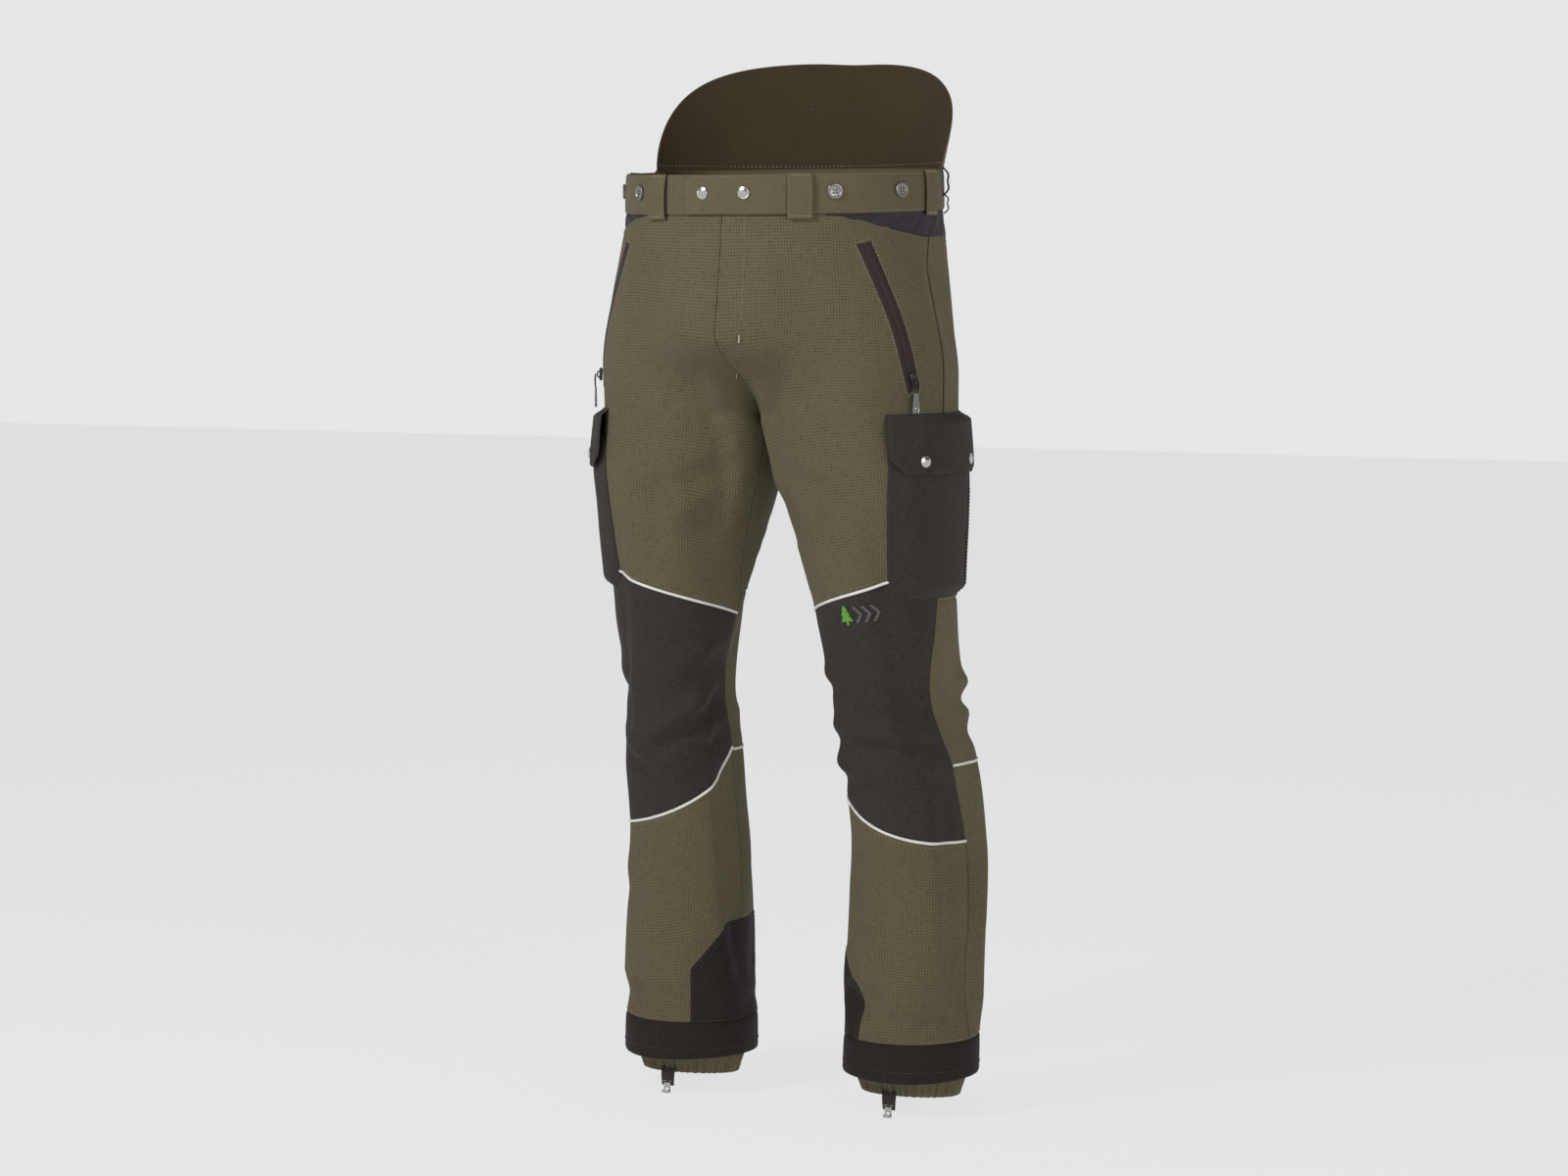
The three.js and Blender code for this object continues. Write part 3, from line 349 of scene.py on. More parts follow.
def settle_cloth():
    """One cloth of both halves, cut 1.5 percent long, settles under its weight and the pads' push."""
    columns = np.linspace(0, 1, DRAPE_COLS + 1)
    index, points, homes, faces = {}, [], {}, []
    for side, sign in SIDES.items():
        for half in ("front", "back"):
            grid = plain(half, columns[:, None], DRAPE_Z[None, :]) * np.array([sign, 1, 1])
            home = np.zeros(grid.shape[:2], int)
            for i in range(DRAPE_COLS + 1):
                for j in range(DRAPE_ROWS):
                    key = tuple(int(c) for c in np.round(grid[i, j] / WELD))
                    if key not in index:
                        index[key] = len(points)
                        points.append(grid[i, j] * MM)
                    home[i, j] = index[key]
            homes[side, half] = home
            for i in range(DRAPE_COLS):
                for j in range(DRAPE_ROWS - 1):
                    loop = [home[i, j], home[i, j + 1], home[i + 1, j + 1], home[i + 1, j]]
                    loop = loop if sign > 0 else loop[::-1]
                    if len(set(loop)) == 4:
                        faces.append(loop)
    mesh = bpy.data.meshes.new("toile")
    mesh.from_pydata(points, [], faces)
    toile = bpy.data.objects.new("toile", mesh)
    bpy.context.scene.collection.objects.link(toile)
    pins = toile.vertex_groups.new(name="pins")
    heights = np.array(points)[:, 2] / MM
    for i, z in enumerate(heights):
        held = 1.0 if z > -BAND - 4 or z < HEM + 6 else 0.02
        pins.add([i], held, "REPLACE")
    cloth = toile.modifiers.new("settle", "CLOTH")
    settings = cloth.settings
    settings.quality = 6
    settings.mass = 0.35
    settings.tension_stiffness = settings.compression_stiffness = 22
    settings.shear_stiffness = 8
    settings.bending_stiffness = 6
    settings.vertex_group_mass = "pins"
    settings.shrink_min = -0.015
    settings.use_pressure = True
    settings.uniform_pressure_force = 0.6
    cloth.collision_settings.use_collision = False
    cloth.point_cache.frame_start, cloth.point_cache.frame_end = 1, SETTLE_FRAMES
    for step in range(1, SETTLE_FRAMES + 1):
        bpy.context.scene.frame_set(step)
    settled = toile.evaluated_get(bpy.context.evaluated_depsgraph_get()).to_mesh()
    after = np.empty(len(points) * 3)
    settled.vertices.foreach_get("co", after)
    after = after.reshape(-1, 3) / MM
    for (side, half), home in homes.items():
        mirror = np.array([SIDES[side], 1, 1])
        u, z = np.meshgrid(columns, DRAPE_Z, indexing="ij")
        rest, out = plain(half, u, z), across_down(lambda a, b: plain(half, a, b), u, z)
        moved = ((after[home] * mirror - rest) * out).sum(-1)
        DRAPE[side, half][:] = np.clip(moved, -DRAPE_CAP, DRAPE_OUT) * loose(half, u, z)
    bpy.context.scene.frame_set(1)
    bpy.data.objects.remove(toile)
    bpy.data.meshes.remove(mesh)


settle_cloth()


# ---------------------------------------------------------------- materials
def linear(code):
    """Linear colour of an sRGB hex value."""
    parts = [int(code[i:i + 2], 16) / 255 for i in (1, 3, 5)]
    return tuple(c / 12.92 if c <= 0.04045 else ((c + 0.055) / 1.055) ** 2.4 for c in parts) + (1.0,)


def add_node(tree, kind, sockets=None, **settings):
    """Adds a node; a socket value that is itself a socket is linked."""
    made = tree.nodes.new(kind)
    for key, value in settings.items():
        setattr(made, key, value)
    for key, value in (sockets or {}).items():
        if isinstance(value, bpy.types.NodeSocket):
            tree.links.new(value, made.inputs[key])
        else:
            made.inputs[key].default_value = value
    return made


def new_material(name, roughness, metallic=0.0, colour="#808080"):
    material = bpy.data.materials.new(name)
    material.use_nodes = True
    shader = material.node_tree.nodes["Principled BSDF"]
    shader.inputs["Base Color"].default_value = linear(colour)
    shader.inputs["Roughness"].default_value = roughness
    shader.inputs["Metallic"].default_value = metallic
    return material, material.node_tree, shader


def ramp(tree, value, stops):
    made = add_node(tree, "ShaderNodeValToRGB", {"Fac": value})
    made.color_ramp.elements[0].position, made.color_ramp.elements[0].color = stops[0]
    made.color_ramp.elements[1].position, made.color_ramp.elements[1].color = stops[-1]
    for place, colour in stops[1:-1]:
        made.color_ramp.elements.new(place).color = colour
    return made.outputs["Color"]


WAVE = 2 * math.pi / 20  # a wave texture's scale is this over its period


def threads(tree, uv, period_mm, direction, distortion=0.0, profile="SIN"):
    """Parallel threads of a real spacing on the piece's own UV map, whose unit is a metre."""
    return add_node(tree, "ShaderNodeTexWave",
                    {"Vector": uv, "Scale": WAVE / (period_mm * MM), "Distortion": distortion, "Detail": 1.0,
                     "Detail Scale": 2.0}, bands_direction=direction, wave_profile=profile).outputs["Fac"]


def combine(tree, operation, a, b):
    return add_node(tree, "ShaderNodeMath", {0: a, 1: b}, operation=operation).outputs[0]


def tint(tree, fac, a, b, blend="MIX"):
    made = add_node(tree, "ShaderNodeMix", data_type="RGBA", blend_type=blend)
    for place, value in ((0, fac), (6, a), (7, b)):
        if isinstance(value, bpy.types.NodeSocket):
            tree.links.new(value, made.inputs[place])
        else:
            made.inputs[place].default_value = value
    return made.outputs[2]


SHEEN_SHARE = 0.2  # of the sheen each cloth asks for: more veils its colour
CLOTH_SPECULAR = 0.12


def cloth_material(name, colour, thread_colour, period_mm, weave, bump_mm, roughness=0.88, sheen=0.25,
                   mottle=0.1, fade="#6d6650"):
    """A woven or knitted cloth: two sets of threads, a heather of uneven yarns, mottling and raised wear."""
    material, tree, shader = new_material(name, roughness, colour=colour)
    uv = add_node(tree, "ShaderNodeUVMap", uv_map="cloth").outputs["UV"]
    warp, weft = weave(tree, uv, period_mm)
    pattern = combine(tree, "MAXIMUM", warp, weft)
    yarn = [add_node(tree, "ShaderNodeTexNoise",
                     {"Vector": add_node(tree, "ShaderNodeMapping",
                                         {"Vector": uv, "Scale": scale}).outputs[0],
                      "Scale": 1.0, "Detail": 3.0}).outputs["Fac"] for scale in ((90, 1500, 1),
                                                                                 (1500, 90, 1))]
    heather = combine(tree, "ADD", yarn[0], yarn[1])
    cloud = add_node(tree, "ShaderNodeTexNoise", {"Vector": uv, "Scale": 9.0, "Detail": 4.0}).outputs["Fac"]
    base = tint(tree, ramp(tree, pattern, [(0.45, (0, 0, 0, 1)), (0.95, (1, 1, 1, 1))]), linear(colour),
                linear(thread_colour))
    base = tint(tree, ramp(tree, heather, [(0.8, (0, 0, 0, 1)), (1.25, (0.55, 0.55, 0.55, 1))]), base,
                linear(fade))
    shade = ramp(tree, cloud, [(0.3, (1 - mottle,) * 3 + (1,)), (0.7, (1 + mottle * 0.3,) * 3 + (1,))])
    base = tint(tree, 1.0, base, shade, "MULTIPLY")
    tree.links.new(base, shader.inputs["Base Color"])
    shader.inputs["Sheen Weight"].default_value = sheen * SHEEN_SHARE
    shader.inputs["Specular IOR Level"].default_value = CLOTH_SPECULAR
    shader.inputs["Sheen Roughness"].default_value = 0.6
    height = combine(tree, "ADD", pattern, combine(tree, "MULTIPLY", heather, 0.5))
    made = add_node(tree, "ShaderNodeBump", {"Height": height, "Distance": bump_mm * MM, "Strength": 0.55})
    tree.links.new(made.outputs[0], shader.inputs["Normal"])
    return material


def check_weave(tree, uv, period_mm):
    """Square ripstop: two sets of thin dark threads, squared off."""
    return [combine(tree, "POWER", threads(tree, uv, period_mm, way), 3.0) for way in ("X", "Y")]


def plain_weave(tree, uv, period_mm):
    return [threads(tree, uv, period_mm, way, 0.4) for way in ("X", "Y")]


def twill_weave(tree, uv, period_mm):
    """Twill: its threads step over each other, so the lines run diagonally."""
    wale = threads(tree, uv, period_mm, "DIAGONAL", 0.3)
    return wale, combine(tree, "MULTIPLY", threads(tree, uv, period_mm * 0.7, "Y"), 0.4)


def rib_knit(tree, uv, period_mm):
    """Elastic knit: bold ribs along the waist and fine loops across them."""
    return threads(tree, uv, period_mm, "Y", 1.2), combine(tree, "MULTIPLY", threads(tree, uv, 1.4, "X"), 0.6)


# Polyamide ripstop: a matt cloth whose check of darker threads, 3.4 mm apart, shows as a fine grid.
RIPSTOP = cloth_material("polyamide_ripstop", "#625c43", "#2b2718", 3.4, check_weave, 0.3)
# Stretch twill: smooth, a little lighter, with a faint diagonal.
TWILL = cloth_material("stretch_twill", "#5a533e", "#4b4532", 1.6, twill_weave, 0.15, mottle=0.06)
# High-tenacity plain weave over the knees: charcoal, dry, with a salt-and-pepper yarn.
CHARCOAL = cloth_material("knee_plain_weave", "#312c29", "#22201e", 1.9, plain_weave, 0.25, 0.82, 0.2,
                          fade="#433e3b")
# Coated ankle cloth: brown-black and slightly smoother.
COATED = cloth_material("coated_ankle_cloth", "#292120", "#1c1615", 2.0, plain_weave, 0.15, 0.75, 0.12,
                        fade="#322927")
# Elastic knit at the waist: purple-grey with paler ribs.
KNIT = cloth_material("elastic_rib_knit", "#272126", "#39323a", 3.6, rib_knit, 0.5, 0.9, 0.3, fade="#464047")
# Brushed lining cloth inside the kidney panel, very matt: its dark olive-brown is partly the lining's own
# colour and partly painted shade of the panel's inside.
KIDNEY_LINING_SHADED = cloth_material("kidney_lining_painted_shade", "#413826", "#352d1e", 1.4, plain_weave, 0.1, 0.95, 0.3,
                               fade="#463d2b")
# Mesh lining: thin dark polyester.
MESH = cloth_material("mesh_lining", "#2b2a28", "#1c1b1a", 2.2, plain_weave, 0.3, 0.9, 0.1, fade="#35332f")
# Cut-protection fibre: off-white, fluffy.
FIBRE = cloth_material("cut_protection_fibre", "#d6d1c0", "#c4bda8", 3.0, plain_weave, 0.6, 0.97, 0.5,
                       fade="#e2ddd0")
# Waterproof zip tape: laminated film over knit, a soft gloss, dark brown.
ZIP_TAPE = cloth_material("laminated_zip_tape", "#33292a", "#2b2222", 1.2, twill_weave, 0.05, 0.55, 0.05,
                          fade="#3a3031")
# Woven webbing: black polyamide with a herringbone look.
WEBBING = cloth_material("black_webbing", "#201d1c", "#151312", 1.6, twill_weave, 0.3, 0.8, 0.1,
                         fade="#2b2725")


def grained_material(name, colour, roughness, metallic=0.0, grain_mm=0.4, depth_mm=0.03, spread=0.1,
                     specular=0.5):
    """A hard finish: a fine grain in the surface, with its roughness a little uneven."""
    material, tree, shader = new_material(name, roughness, metallic, colour)
    where = add_node(tree, "ShaderNodeTexCoord").outputs["Object"]
    grain = add_node(tree, "ShaderNodeTexNoise",
                     {"Vector": where, "Scale": 1 / (grain_mm * MM), "Detail": 2.0})
    uneven = ramp(tree, grain.outputs["Fac"], [(0.3, (roughness - spread,) * 3 + (1,)),
                                               (0.7, (roughness + spread,) * 3 + (1,))])
    tree.links.new(uneven, shader.inputs["Roughness"])
    made = add_node(tree, "ShaderNodeBump", {"Height": grain.outputs["Fac"], "Distance": depth_mm * MM,
                                             "Strength": 0.3})
    tree.links.new(made.outputs[0], shader.inputs["Normal"])
    shader.inputs["Specular IOR Level"].default_value = specular
    return material


# Nickel-plated brass: bright, slightly warm, tumbled smooth.
NICKEL = grained_material("nickel_plate", "#c3c0bc", 0.24, 1.0, 0.6, 0.01, 0.06)
# Antiqued nickel of the brace buttons: darker, with duller hollows.
OLD_NICKEL = grained_material("antique_nickel", "#8b8883", 0.34, 1.0, 0.8, 0.02, 0.1)
# Black enamel on the zip sliders.
ENAMEL = grained_material("black_enamel", "#262222", 0.35, 0.0, 0.7, 0.01, 0.06)
# Zinc-plated steel wire of the lace hooks.
ZINC = grained_material("zinc_plated_steel", "#b4b4b3", 0.3, 1.0, 0.5, 0.01, 0.08)
# Moulded grey rubber of the zip pulls and the badge.
RUBBER = grained_material("moulded_grey_rubber", "#6d716e", 0.6, 0.0, 0.5, 0.03, 0.08)
RUBBER_DARK = grained_material("moulded_dark_rubber", "#514e50", 0.55, 0.0, 0.5, 0.03, 0.08)
RUBBER_GREEN = grained_material("moulded_green_rubber", "#5d9636", 0.5, 0.0, 0.5, 0.02, 0.06)
# Retroreflective piping: glass beads in an off-white film, bright and slightly silky.
REFLECTIVE = grained_material("reflective_piping_film", "#dedbd5", 0.42, 0.0, 0.3, 0.02, 0.06, 0.7)
# Polyester sewing thread: olive, black-brown and a pale one for bartacks.
THREAD = {name: grained_material(f"sewing_thread_{name}", colour, 0.6, 0.0, 0.4, 0.02, 0.06)
          for name, colour in (("olive", "#857d60"), ("dark", "#4a423c"), ("pale", "#b9b3a4"))}


# ---------------------------------------------------------------- making cloth pieces
def put_mesh(name, points_mm, faces, material, uv=None, smooth=True):
    mesh = bpy.data.meshes.new(name)
    mesh.from_pydata((np.asarray(points_mm, float).reshape(-1, 3) * MM).tolist(), [], faces)
    mesh.materials.append(material)
    if uv is not None:
        layer = mesh.uv_layers.new(name="cloth")
        corner = np.empty(len(mesh.loops), int)
        mesh.loops.foreach_get("vertex_index", corner)
        layer.data.foreach_set("uv", np.asarray(uv, float).reshape(-1, 2)[corner].ravel())
    mesh.validate()
    mesh.update()
    if smooth:
        mesh.polygons.foreach_set("use_smooth", [True] * len(mesh.polygons))
    piece = bpy.data.objects.new(name, mesh)
    bpy.context.scene.collection.objects.link(piece)
    return piece


def arc_lengths(grid):
    """UV in metres for a grid of points: along each row from its middle, and down each column."""
    row = np.concatenate([np.zeros((1, grid.shape[1])),
                          np.cumsum(np.linalg.norm(np.diff(grid, axis=0), axis=-1), 0)])
    row -= row[grid.shape[0] // 2]
    down = np.concatenate([np.zeros((grid.shape[0], 1)),
                           np.cumsum(np.linalg.norm(np.diff(grid, axis=1), axis=-1), 1)], 1)
    down = down[grid.shape[0] // 2][None, :] + 0 * row
    return np.stack([row, down], -1) * MM


def cloth_solid(name, outer, inner, material, flip=False, ring=False, uv=None):
    """A closed piece between two grids of points, across then down, the outer one outward."""
    cols, rows = outer.shape[:2]
    uv = arc_lengths(outer) if uv is None else uv
    if ring:
        cols -= 1
    count = outer.shape[0] * rows

    def at(i, j, layer=0):
        return layer * count + ((i % cols) if ring else i) * rows + j

    faces = []
    spans = cols if ring else cols - 1
    for i in range(spans):
        for j in range(rows - 1):
            faces.append((at(i, j), at(i, j + 1), at(i + 1, j + 1), at(i + 1, j)))
            faces.append((at(i, j, 1), at(i + 1, j, 1), at(i + 1, j + 1, 1), at(i, j + 1, 1)))
        faces.append((at(i, 0), at(i + 1, 0), at(i + 1, 0, 1), at(i, 0, 1)))
        last = rows - 1
        faces.append((at(i + 1, last), at(i, last), at(i, last, 1), at(i + 1, last, 1)))
    if not ring:
        for j in range(rows - 1):
            faces.append((at(0, j + 1), at(0, j), at(0, j, 1), at(0, j + 1, 1)))
            end = cols - 1
            faces.append((at(end, j), at(end, j + 1), at(end, j + 1, 1), at(end, j, 1)))
    if flip:
        faces = [face[::-1] for face in faces]
    points = np.concatenate([outer.reshape(-1, 3), inner.reshape(-1, 3)])
    piece = put_mesh(name, points, faces, material, np.concatenate([uv.reshape(-1, 2)] * 2))
    if ring:
        loose = bmesh.new()
        loose.from_mesh(piece.data)
        bmesh.ops.delete(loose, geom=[v for v in loose.verts if not v.link_faces], context="VERTS")
        loose.to_mesh(piece.data)
        loose.free()
    return piece


def seam_round(distance, radius=2.2, dip=0.85):
    """How far cloth sinks where it turns into a seam this far away."""
    return dip * np.exp(-((np.maximum(distance, 0) / radius) ** 2))


STEP = 5.0  # about the size of a cloth piece's faces


def panel(name, side, half, u0, u1, top, bottom, material, lift=0.0, thickness=FABRIC, width_mm=230, puff=0.5,
          extra=None):
    """A cut panel of the garment between two heights, sewn in at its edges."""
    height_mm = float(np.max(top(np.linspace(0, 1, 9)) - bottom(np.linspace(0, 1, 9))))
    cols = max(6, int(width_mm * abs(u1 - u0) / STEP))
    rows = max(6, int(height_mm / STEP))
    s, t = np.meshgrid(spread(cols), spread(rows), indexing="ij")
    u = mix(u0, u1, s)
    z_top, z_low = top(u), bottom(u)
    z = mix(z_top, z_low, t)
    reach = np.minimum(np.minimum(s, 1 - s) * width_mm * abs(u1 - u0), np.minimum(t, 1 - t) * (z_top - z_low))
    rise = puff * (1 - np.exp(-reach / 9)) - seam_round(reach)
    if extra is not None:
        rise = rise + extra(u, z)
    outer, _ = cloth_point(side, half, u, z, lift + thickness + rise)
    inner, _ = cloth_point(side, half, u, z, lift + 0.1 + np.minimum(rise, 0) * 0.4)
    return cloth_solid(name, outer, inner, material, flip=SIDES[side] < 0)


def spread(count):
    """Shares from 0 to 1, closer together at both ends, where cloth turns into its seam."""
    inside = np.linspace(0, 1, count + 1)
    edge = np.array([0.12, 0.35, 0.65]) / count
    return np.unique(np.concatenate([inside, edge, 1 - edge]))


def sheet_piece(name, surface, s, t, low, high, material, flip=False, ring=False):
    """A closed piece over surface(s, t) -> points and normals, from low to high along the normals."""
    s, t = np.meshgrid(s, t, indexing="ij")
    points, out = surface(s, t)
    low, high = (value(s, t) if callable(value) else np.full(s.shape, float(value)) for value in (low, high))
    return cloth_solid(name, points + out * high[..., None], points + out * low[..., None], material, flip,
                       ring)


def rounded(s, t, wide, tall, edge=1.6, dip=1.0):
    """How far a piece's face falls towards its edges, given its size in mm."""
    reach = np.minimum(np.minimum(s, 1 - s) * wide, np.minimum(t, 1 - t) * tall)
    return dip * np.exp(-((reach / edge) ** 2))


def tube(name, points, out, radius, material, sides=8, flat=1.0, ends=True):
    """A round cord or piping along points; flat under 1 presses it against what it lies on."""
    points, out = np.asarray(points, float), np.asarray(out, float)
    along = np.gradient(points, axis=0)
    along /= np.linalg.norm(along, axis=1, keepdims=True)
    across = np.cross(along, out)
    across /= np.linalg.norm(across, axis=1, keepdims=True)
    up = np.cross(across, along)
    turn = np.linspace(0, 2 * np.pi, sides, endpoint=False)
    radius = np.broadcast_to(np.asarray(radius, float), len(points))[:, None, None]
    ring = points[:, None] + radius * (np.cos(turn)[None, :, None] * across[:, None]
                                       + flat * np.sin(turn)[None, :, None] * up[:, None])
    count = len(points)
    faces = [(i * sides + k, i * sides + (k + 1) % sides, (i + 1) * sides + (k + 1) % sides,
              (i + 1) * sides + k)
             for i in range(count - 1) for k in range(sides)]
    if ends:
        faces += [tuple(range(sides))[::-1], tuple((count - 1) * sides + k for k in range(sides))]
    reach = np.concatenate([[0], np.cumsum(np.linalg.norm(np.diff(points, axis=0), axis=1))])
    uv = np.stack([np.broadcast_to(turn * radius.mean(), (count, sides)),
                   np.broadcast_to(reach[:, None], (count, sides))], -1) * MM
    return put_mesh(name, ring, [face[::-1] for face in faces], material, uv)


def along_path(points, out, step, start=0.0):
    """Places, directions and normals at an even step along a polyline."""
    reach = np.concatenate([[0], np.cumsum(np.linalg.norm(np.diff(points, axis=0), axis=1))])
    at = np.arange(start, reach[-1], step)
    place = np.stack([np.interp(at, reach, points[:, k]) for k in range(3)], -1)
    ahead = np.stack([np.interp(at + 0.5, reach, points[:, k]) - np.interp(at - 0.5, reach, points[:, k])
                      for k in range(3)], -1)
    normal = np.stack([np.interp(at, reach, out[:, k]) for k in range(3)], -1)
    ahead /= np.linalg.norm(ahead, axis=1, keepdims=True) + 1e-9
    normal /= np.linalg.norm(normal, axis=1, keepdims=True) + 1e-9
    return place, ahead, normal


STITCHES = {}  # (group, thread) -> stitch meshes gathered for one object
STITCH_PITCH, STITCH_LENGTH, STITCH_WIDTH = 4.0, 3.0, 0.55
STITCH_ENDS = ((-0.5, -0.35, 0.45), (-0.3, 0.12, 1.0), (0.3, 0.12, 1.0), (0.5, -0.35, 0.45))


def stitch(group, thread, points, out, pitch=STITCH_PITCH, length=STITCH_LENGTH, width=STITCH_WIDTH,
           turn=0.0):
    """A row of lockstitches along a path, each a thread that dips into the cloth at both ends."""
    place, ahead, normal = along_path(points, out, pitch, pitch / 2)
    if not len(place):
        return
    side = np.cross(ahead, normal)
    ahead, side = (ahead * math.cos(turn) + side * math.sin(turn),
                   side * math.cos(turn) - ahead * math.sin(turn))
    rings = []
    for share, rise, size in STITCH_ENDS:
        middle = place + ahead * share * length + normal * (rise + 0.1)
        half = width / 2 * size
        for x, z in ((1, 0), (0, 1), (-1, 0), (0, -1)):
            rings.append(middle + side * x * half + normal * z * half)
    STITCHES.setdefault((group, thread), []).append(np.stack(rings, 1))


def make_stitches():
    """One object for each group's thread."""
    made = {}
    faces = [(4 * r + k, 4 * r + (k + 1) % 4, 4 * r + 4 + (k + 1) % 4, 4 * r + 4 + k)
             for r in range(3) for k in range(4)] + [(3, 2, 1, 0), (12, 13, 14, 15)]
    for (group, thread), rows in STITCHES.items():
        points = np.concatenate(rows)
        every = [tuple(16 * i + c for c in face) for i in range(len(points)) for face in faces]
        made[group, thread] = put_mesh(f"stitching_{group}_{thread}", points, every, THREAD[thread])
        fix_normals(made[group, thread])
    return made


def fix_normals(piece):
    shape = bmesh.new()
    shape.from_mesh(piece.data)
    bmesh.ops.recalc_face_normals(shape, faces=shape.faces)
    shape.to_mesh(piece.data)
    shape.free()


def bartack(group, thread, point, out, ahead, length, width=2.4):
    """A short dense bar of thread across a seam's end."""
    ahead = np.asarray(ahead, float) / np.linalg.norm(ahead)
    ends = np.array([point - ahead * length / 2, point + ahead * length / 2])
    stitch(group, thread, ends, np.array([out, out]), pitch=0.7, length=width, width=0.8, turn=math.pi / 2)


def on_leg(piece):
    """Bakes the piece's place into its mesh, where it stays."""
    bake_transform(piece)


# ---------------------------------------------------------------- shell panels
def front_top(u):
    angle = u * HIP_SEAM
    return waist_top(angle) - BAND - 28 * ease(between(angle, 32, HIP_SEAM))


def back_top(u):
    angle = mix(HIP_SEAM, 180, u)
    return waist_top(angle) - BAND - mix(28, 58, ease(u))


def upper_piping(u):
    return mix(KNEE + 90, KNEE + 160, u)


def lower_piping(u):
    return KNEE - 72 - 94 * (1 - (1 - np.clip(u, 0, 1)) ** 2.6)


def level(z):
    return lambda u: z + 0 * np.asarray(u, float)


FLY_WIDTH, FLY_END = 31, -196


def fly_share(u, z):
    """1 on the doubled cloth of the fly, left of the middle; its lower corner is rounded."""
    across = u * HIP_SEAM / 90 * 300
    corner = np.hypot(np.maximum(across - 4, 0) / (FLY_WIDTH - 4), np.maximum(FLY_END + 34 - z, 0) / 34)
    return 1 - ease(between(np.where(z > FLY_END + 34, across / FLY_WIDTH, corner), 0.96, 1.05))


def side_bow(u, z):
    """The side panel stands a little proud along the upper seam."""
    return 1.2 * np.exp(-((u / 0.06) ** 2)) * ease(between(z, CROTCH - 150, CROTCH + 60))


LEG_PANELS = []
for side in SIDES:
    LEG_PANELS += [
        (panel(f"thigh_front_cloth_{side}", side, "front", 0.0015, 0.998, front_top, upper_piping, RIPSTOP,
               width_mm=290, extra=(lambda u, z: 0.9 * fly_share(u, z)) if side == "left" else None),
         f"thigh_front_{side}", "ripstop"),
        (panel(f"seat_cloth_{side}", side, "back", 0.002, 0.9985, back_top, level(KNEE_BACK[0]), TWILL,
               width_mm=330, extra=side_bow), f"seat_panel_{side}", "twill"),
        (panel(f"knee_cloth_{side}", side, "front", 0.002, 0.998, upper_piping, lower_piping, CHARCOAL,
               width_mm=220, puff=0.9), f"knee_panel_{side}", "knee_fabric"),
        (panel(f"knee_back_cloth_{side}", side, "back", 0.002, 0.998, level(KNEE_BACK[0]),
               level(KNEE_BACK[1]),
               TWILL, width_mm=270), f"knee_back_{side}", "twill"),
        (panel(f"shin_cloth_{side}", side, "front", 0.002, 0.998, lower_piping, level(HEM + HEM_BAND),
               RIPSTOP,
               width_mm=230), f"shin_front_{side}", "ripstop"),
        (panel(f"calf_cloth_{side}", side, "back", 0.002, 0.998, level(KNEE_BACK[1]), level(HEM + HEM_BAND),
               RIPSTOP,
               width_mm=250), f"calf_panel_{side}", "ripstop"),
    ]
    for piece, node, finish in LEG_PANELS[-6:]:
        on_leg(piece)
        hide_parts(node)


# ---------------------------------------------------------------- waist
def waist_surface(angle, z, lift=0.0):
    """Points and outward normals at an angle from the middle of the front, towards the wearer's left."""
    angle, z = np.broadcast_arrays(np.asarray(angle, float), np.asarray(z, float))
    point, turn = hip_point(angle, z), np.radians(angle)
    out = np.stack([np.sin(turn) / WAIST[0], -np.cos(turn) / WAIST[1], 0 * turn], -1)
    out /= np.linalg.norm(out, axis=-1, keepdims=True)
    return point + out * np.broadcast_to(lift, angle.shape)[..., None], out


def band_piece(name, start, end, top=0.0, low=0.3, high=BAND_THICKNESS, node=None):
    """A folded and topstitched length of waistband, a little full between its seams."""
    wide = abs(end - start) / 360 * 1060
    count = max(8, int(wide / 5))

    def surface(s, t):
        angle = mix(start, end, s)
        return waist_surface(angle, waist_top(angle) + mix(-top, -BAND, t))

    def outer(s, t):
        angle = mix(start, end, s)
        wave = 0.35 * np.sin(np.radians(angle) * 9 + 1) * np.sin(np.pi * t) ** 2
        seams = 0.45 * (bump(t * BAND, 3.2, 0.9) + bump(t * BAND, BAND - 3.2, 0.9))
        return high + wave + 0.5 * np.sin(np.pi * t) - seams - rounded(s, t, wide, BAND, 1.8, 1.1)

    made = sheet_piece(name, surface, spread(count), spread(12), low, outer, TWILL)
    if node:
        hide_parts(node)
    return made


def waist_rows(group, start, end, lift, depths=(2.8, BAND - 2.8), thread="olive"):
    angle = np.linspace(start, end, max(4, int(abs(end - start))))
    for depth in depths:
        stitch(group, thread, *waist_surface(angle, waist_top(angle) - depth, lift))


WAIST_PIECES = [
    band_piece("waistband_cloth_left", 0.2, 87.8, node="waistband_left"),
    band_piece("waistband_cloth_right", -87.8, -0.2, node="waistband_right"),
    band_piece("waistband_cloth_back", 88.1, 271.9, node="waistband_back"),
]
for piece in WAIST_PIECES:
    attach(piece, "root")
waist_rows("root", 20, 87, BAND_THICKNESS + 0.1)
waist_rows("root", -87, -15, BAND_THICKNESS + 0.1)
waist_rows("root", 89, 271, BAND_THICKNESS + 0.1)

# The closing tab continues the left waistband over the right one.
TAB = {"hinge": 20, "root": 24.5, "end": -14.5, "low": BAND_THICKNESS + 0.5, "thickness": 2}


def tab_surface(s, t):
    angle = mix(TAB["end"], TAB["root"], s)
    return waist_surface(angle, waist_top(angle) - mix(0.4, BAND - 0.8, t))


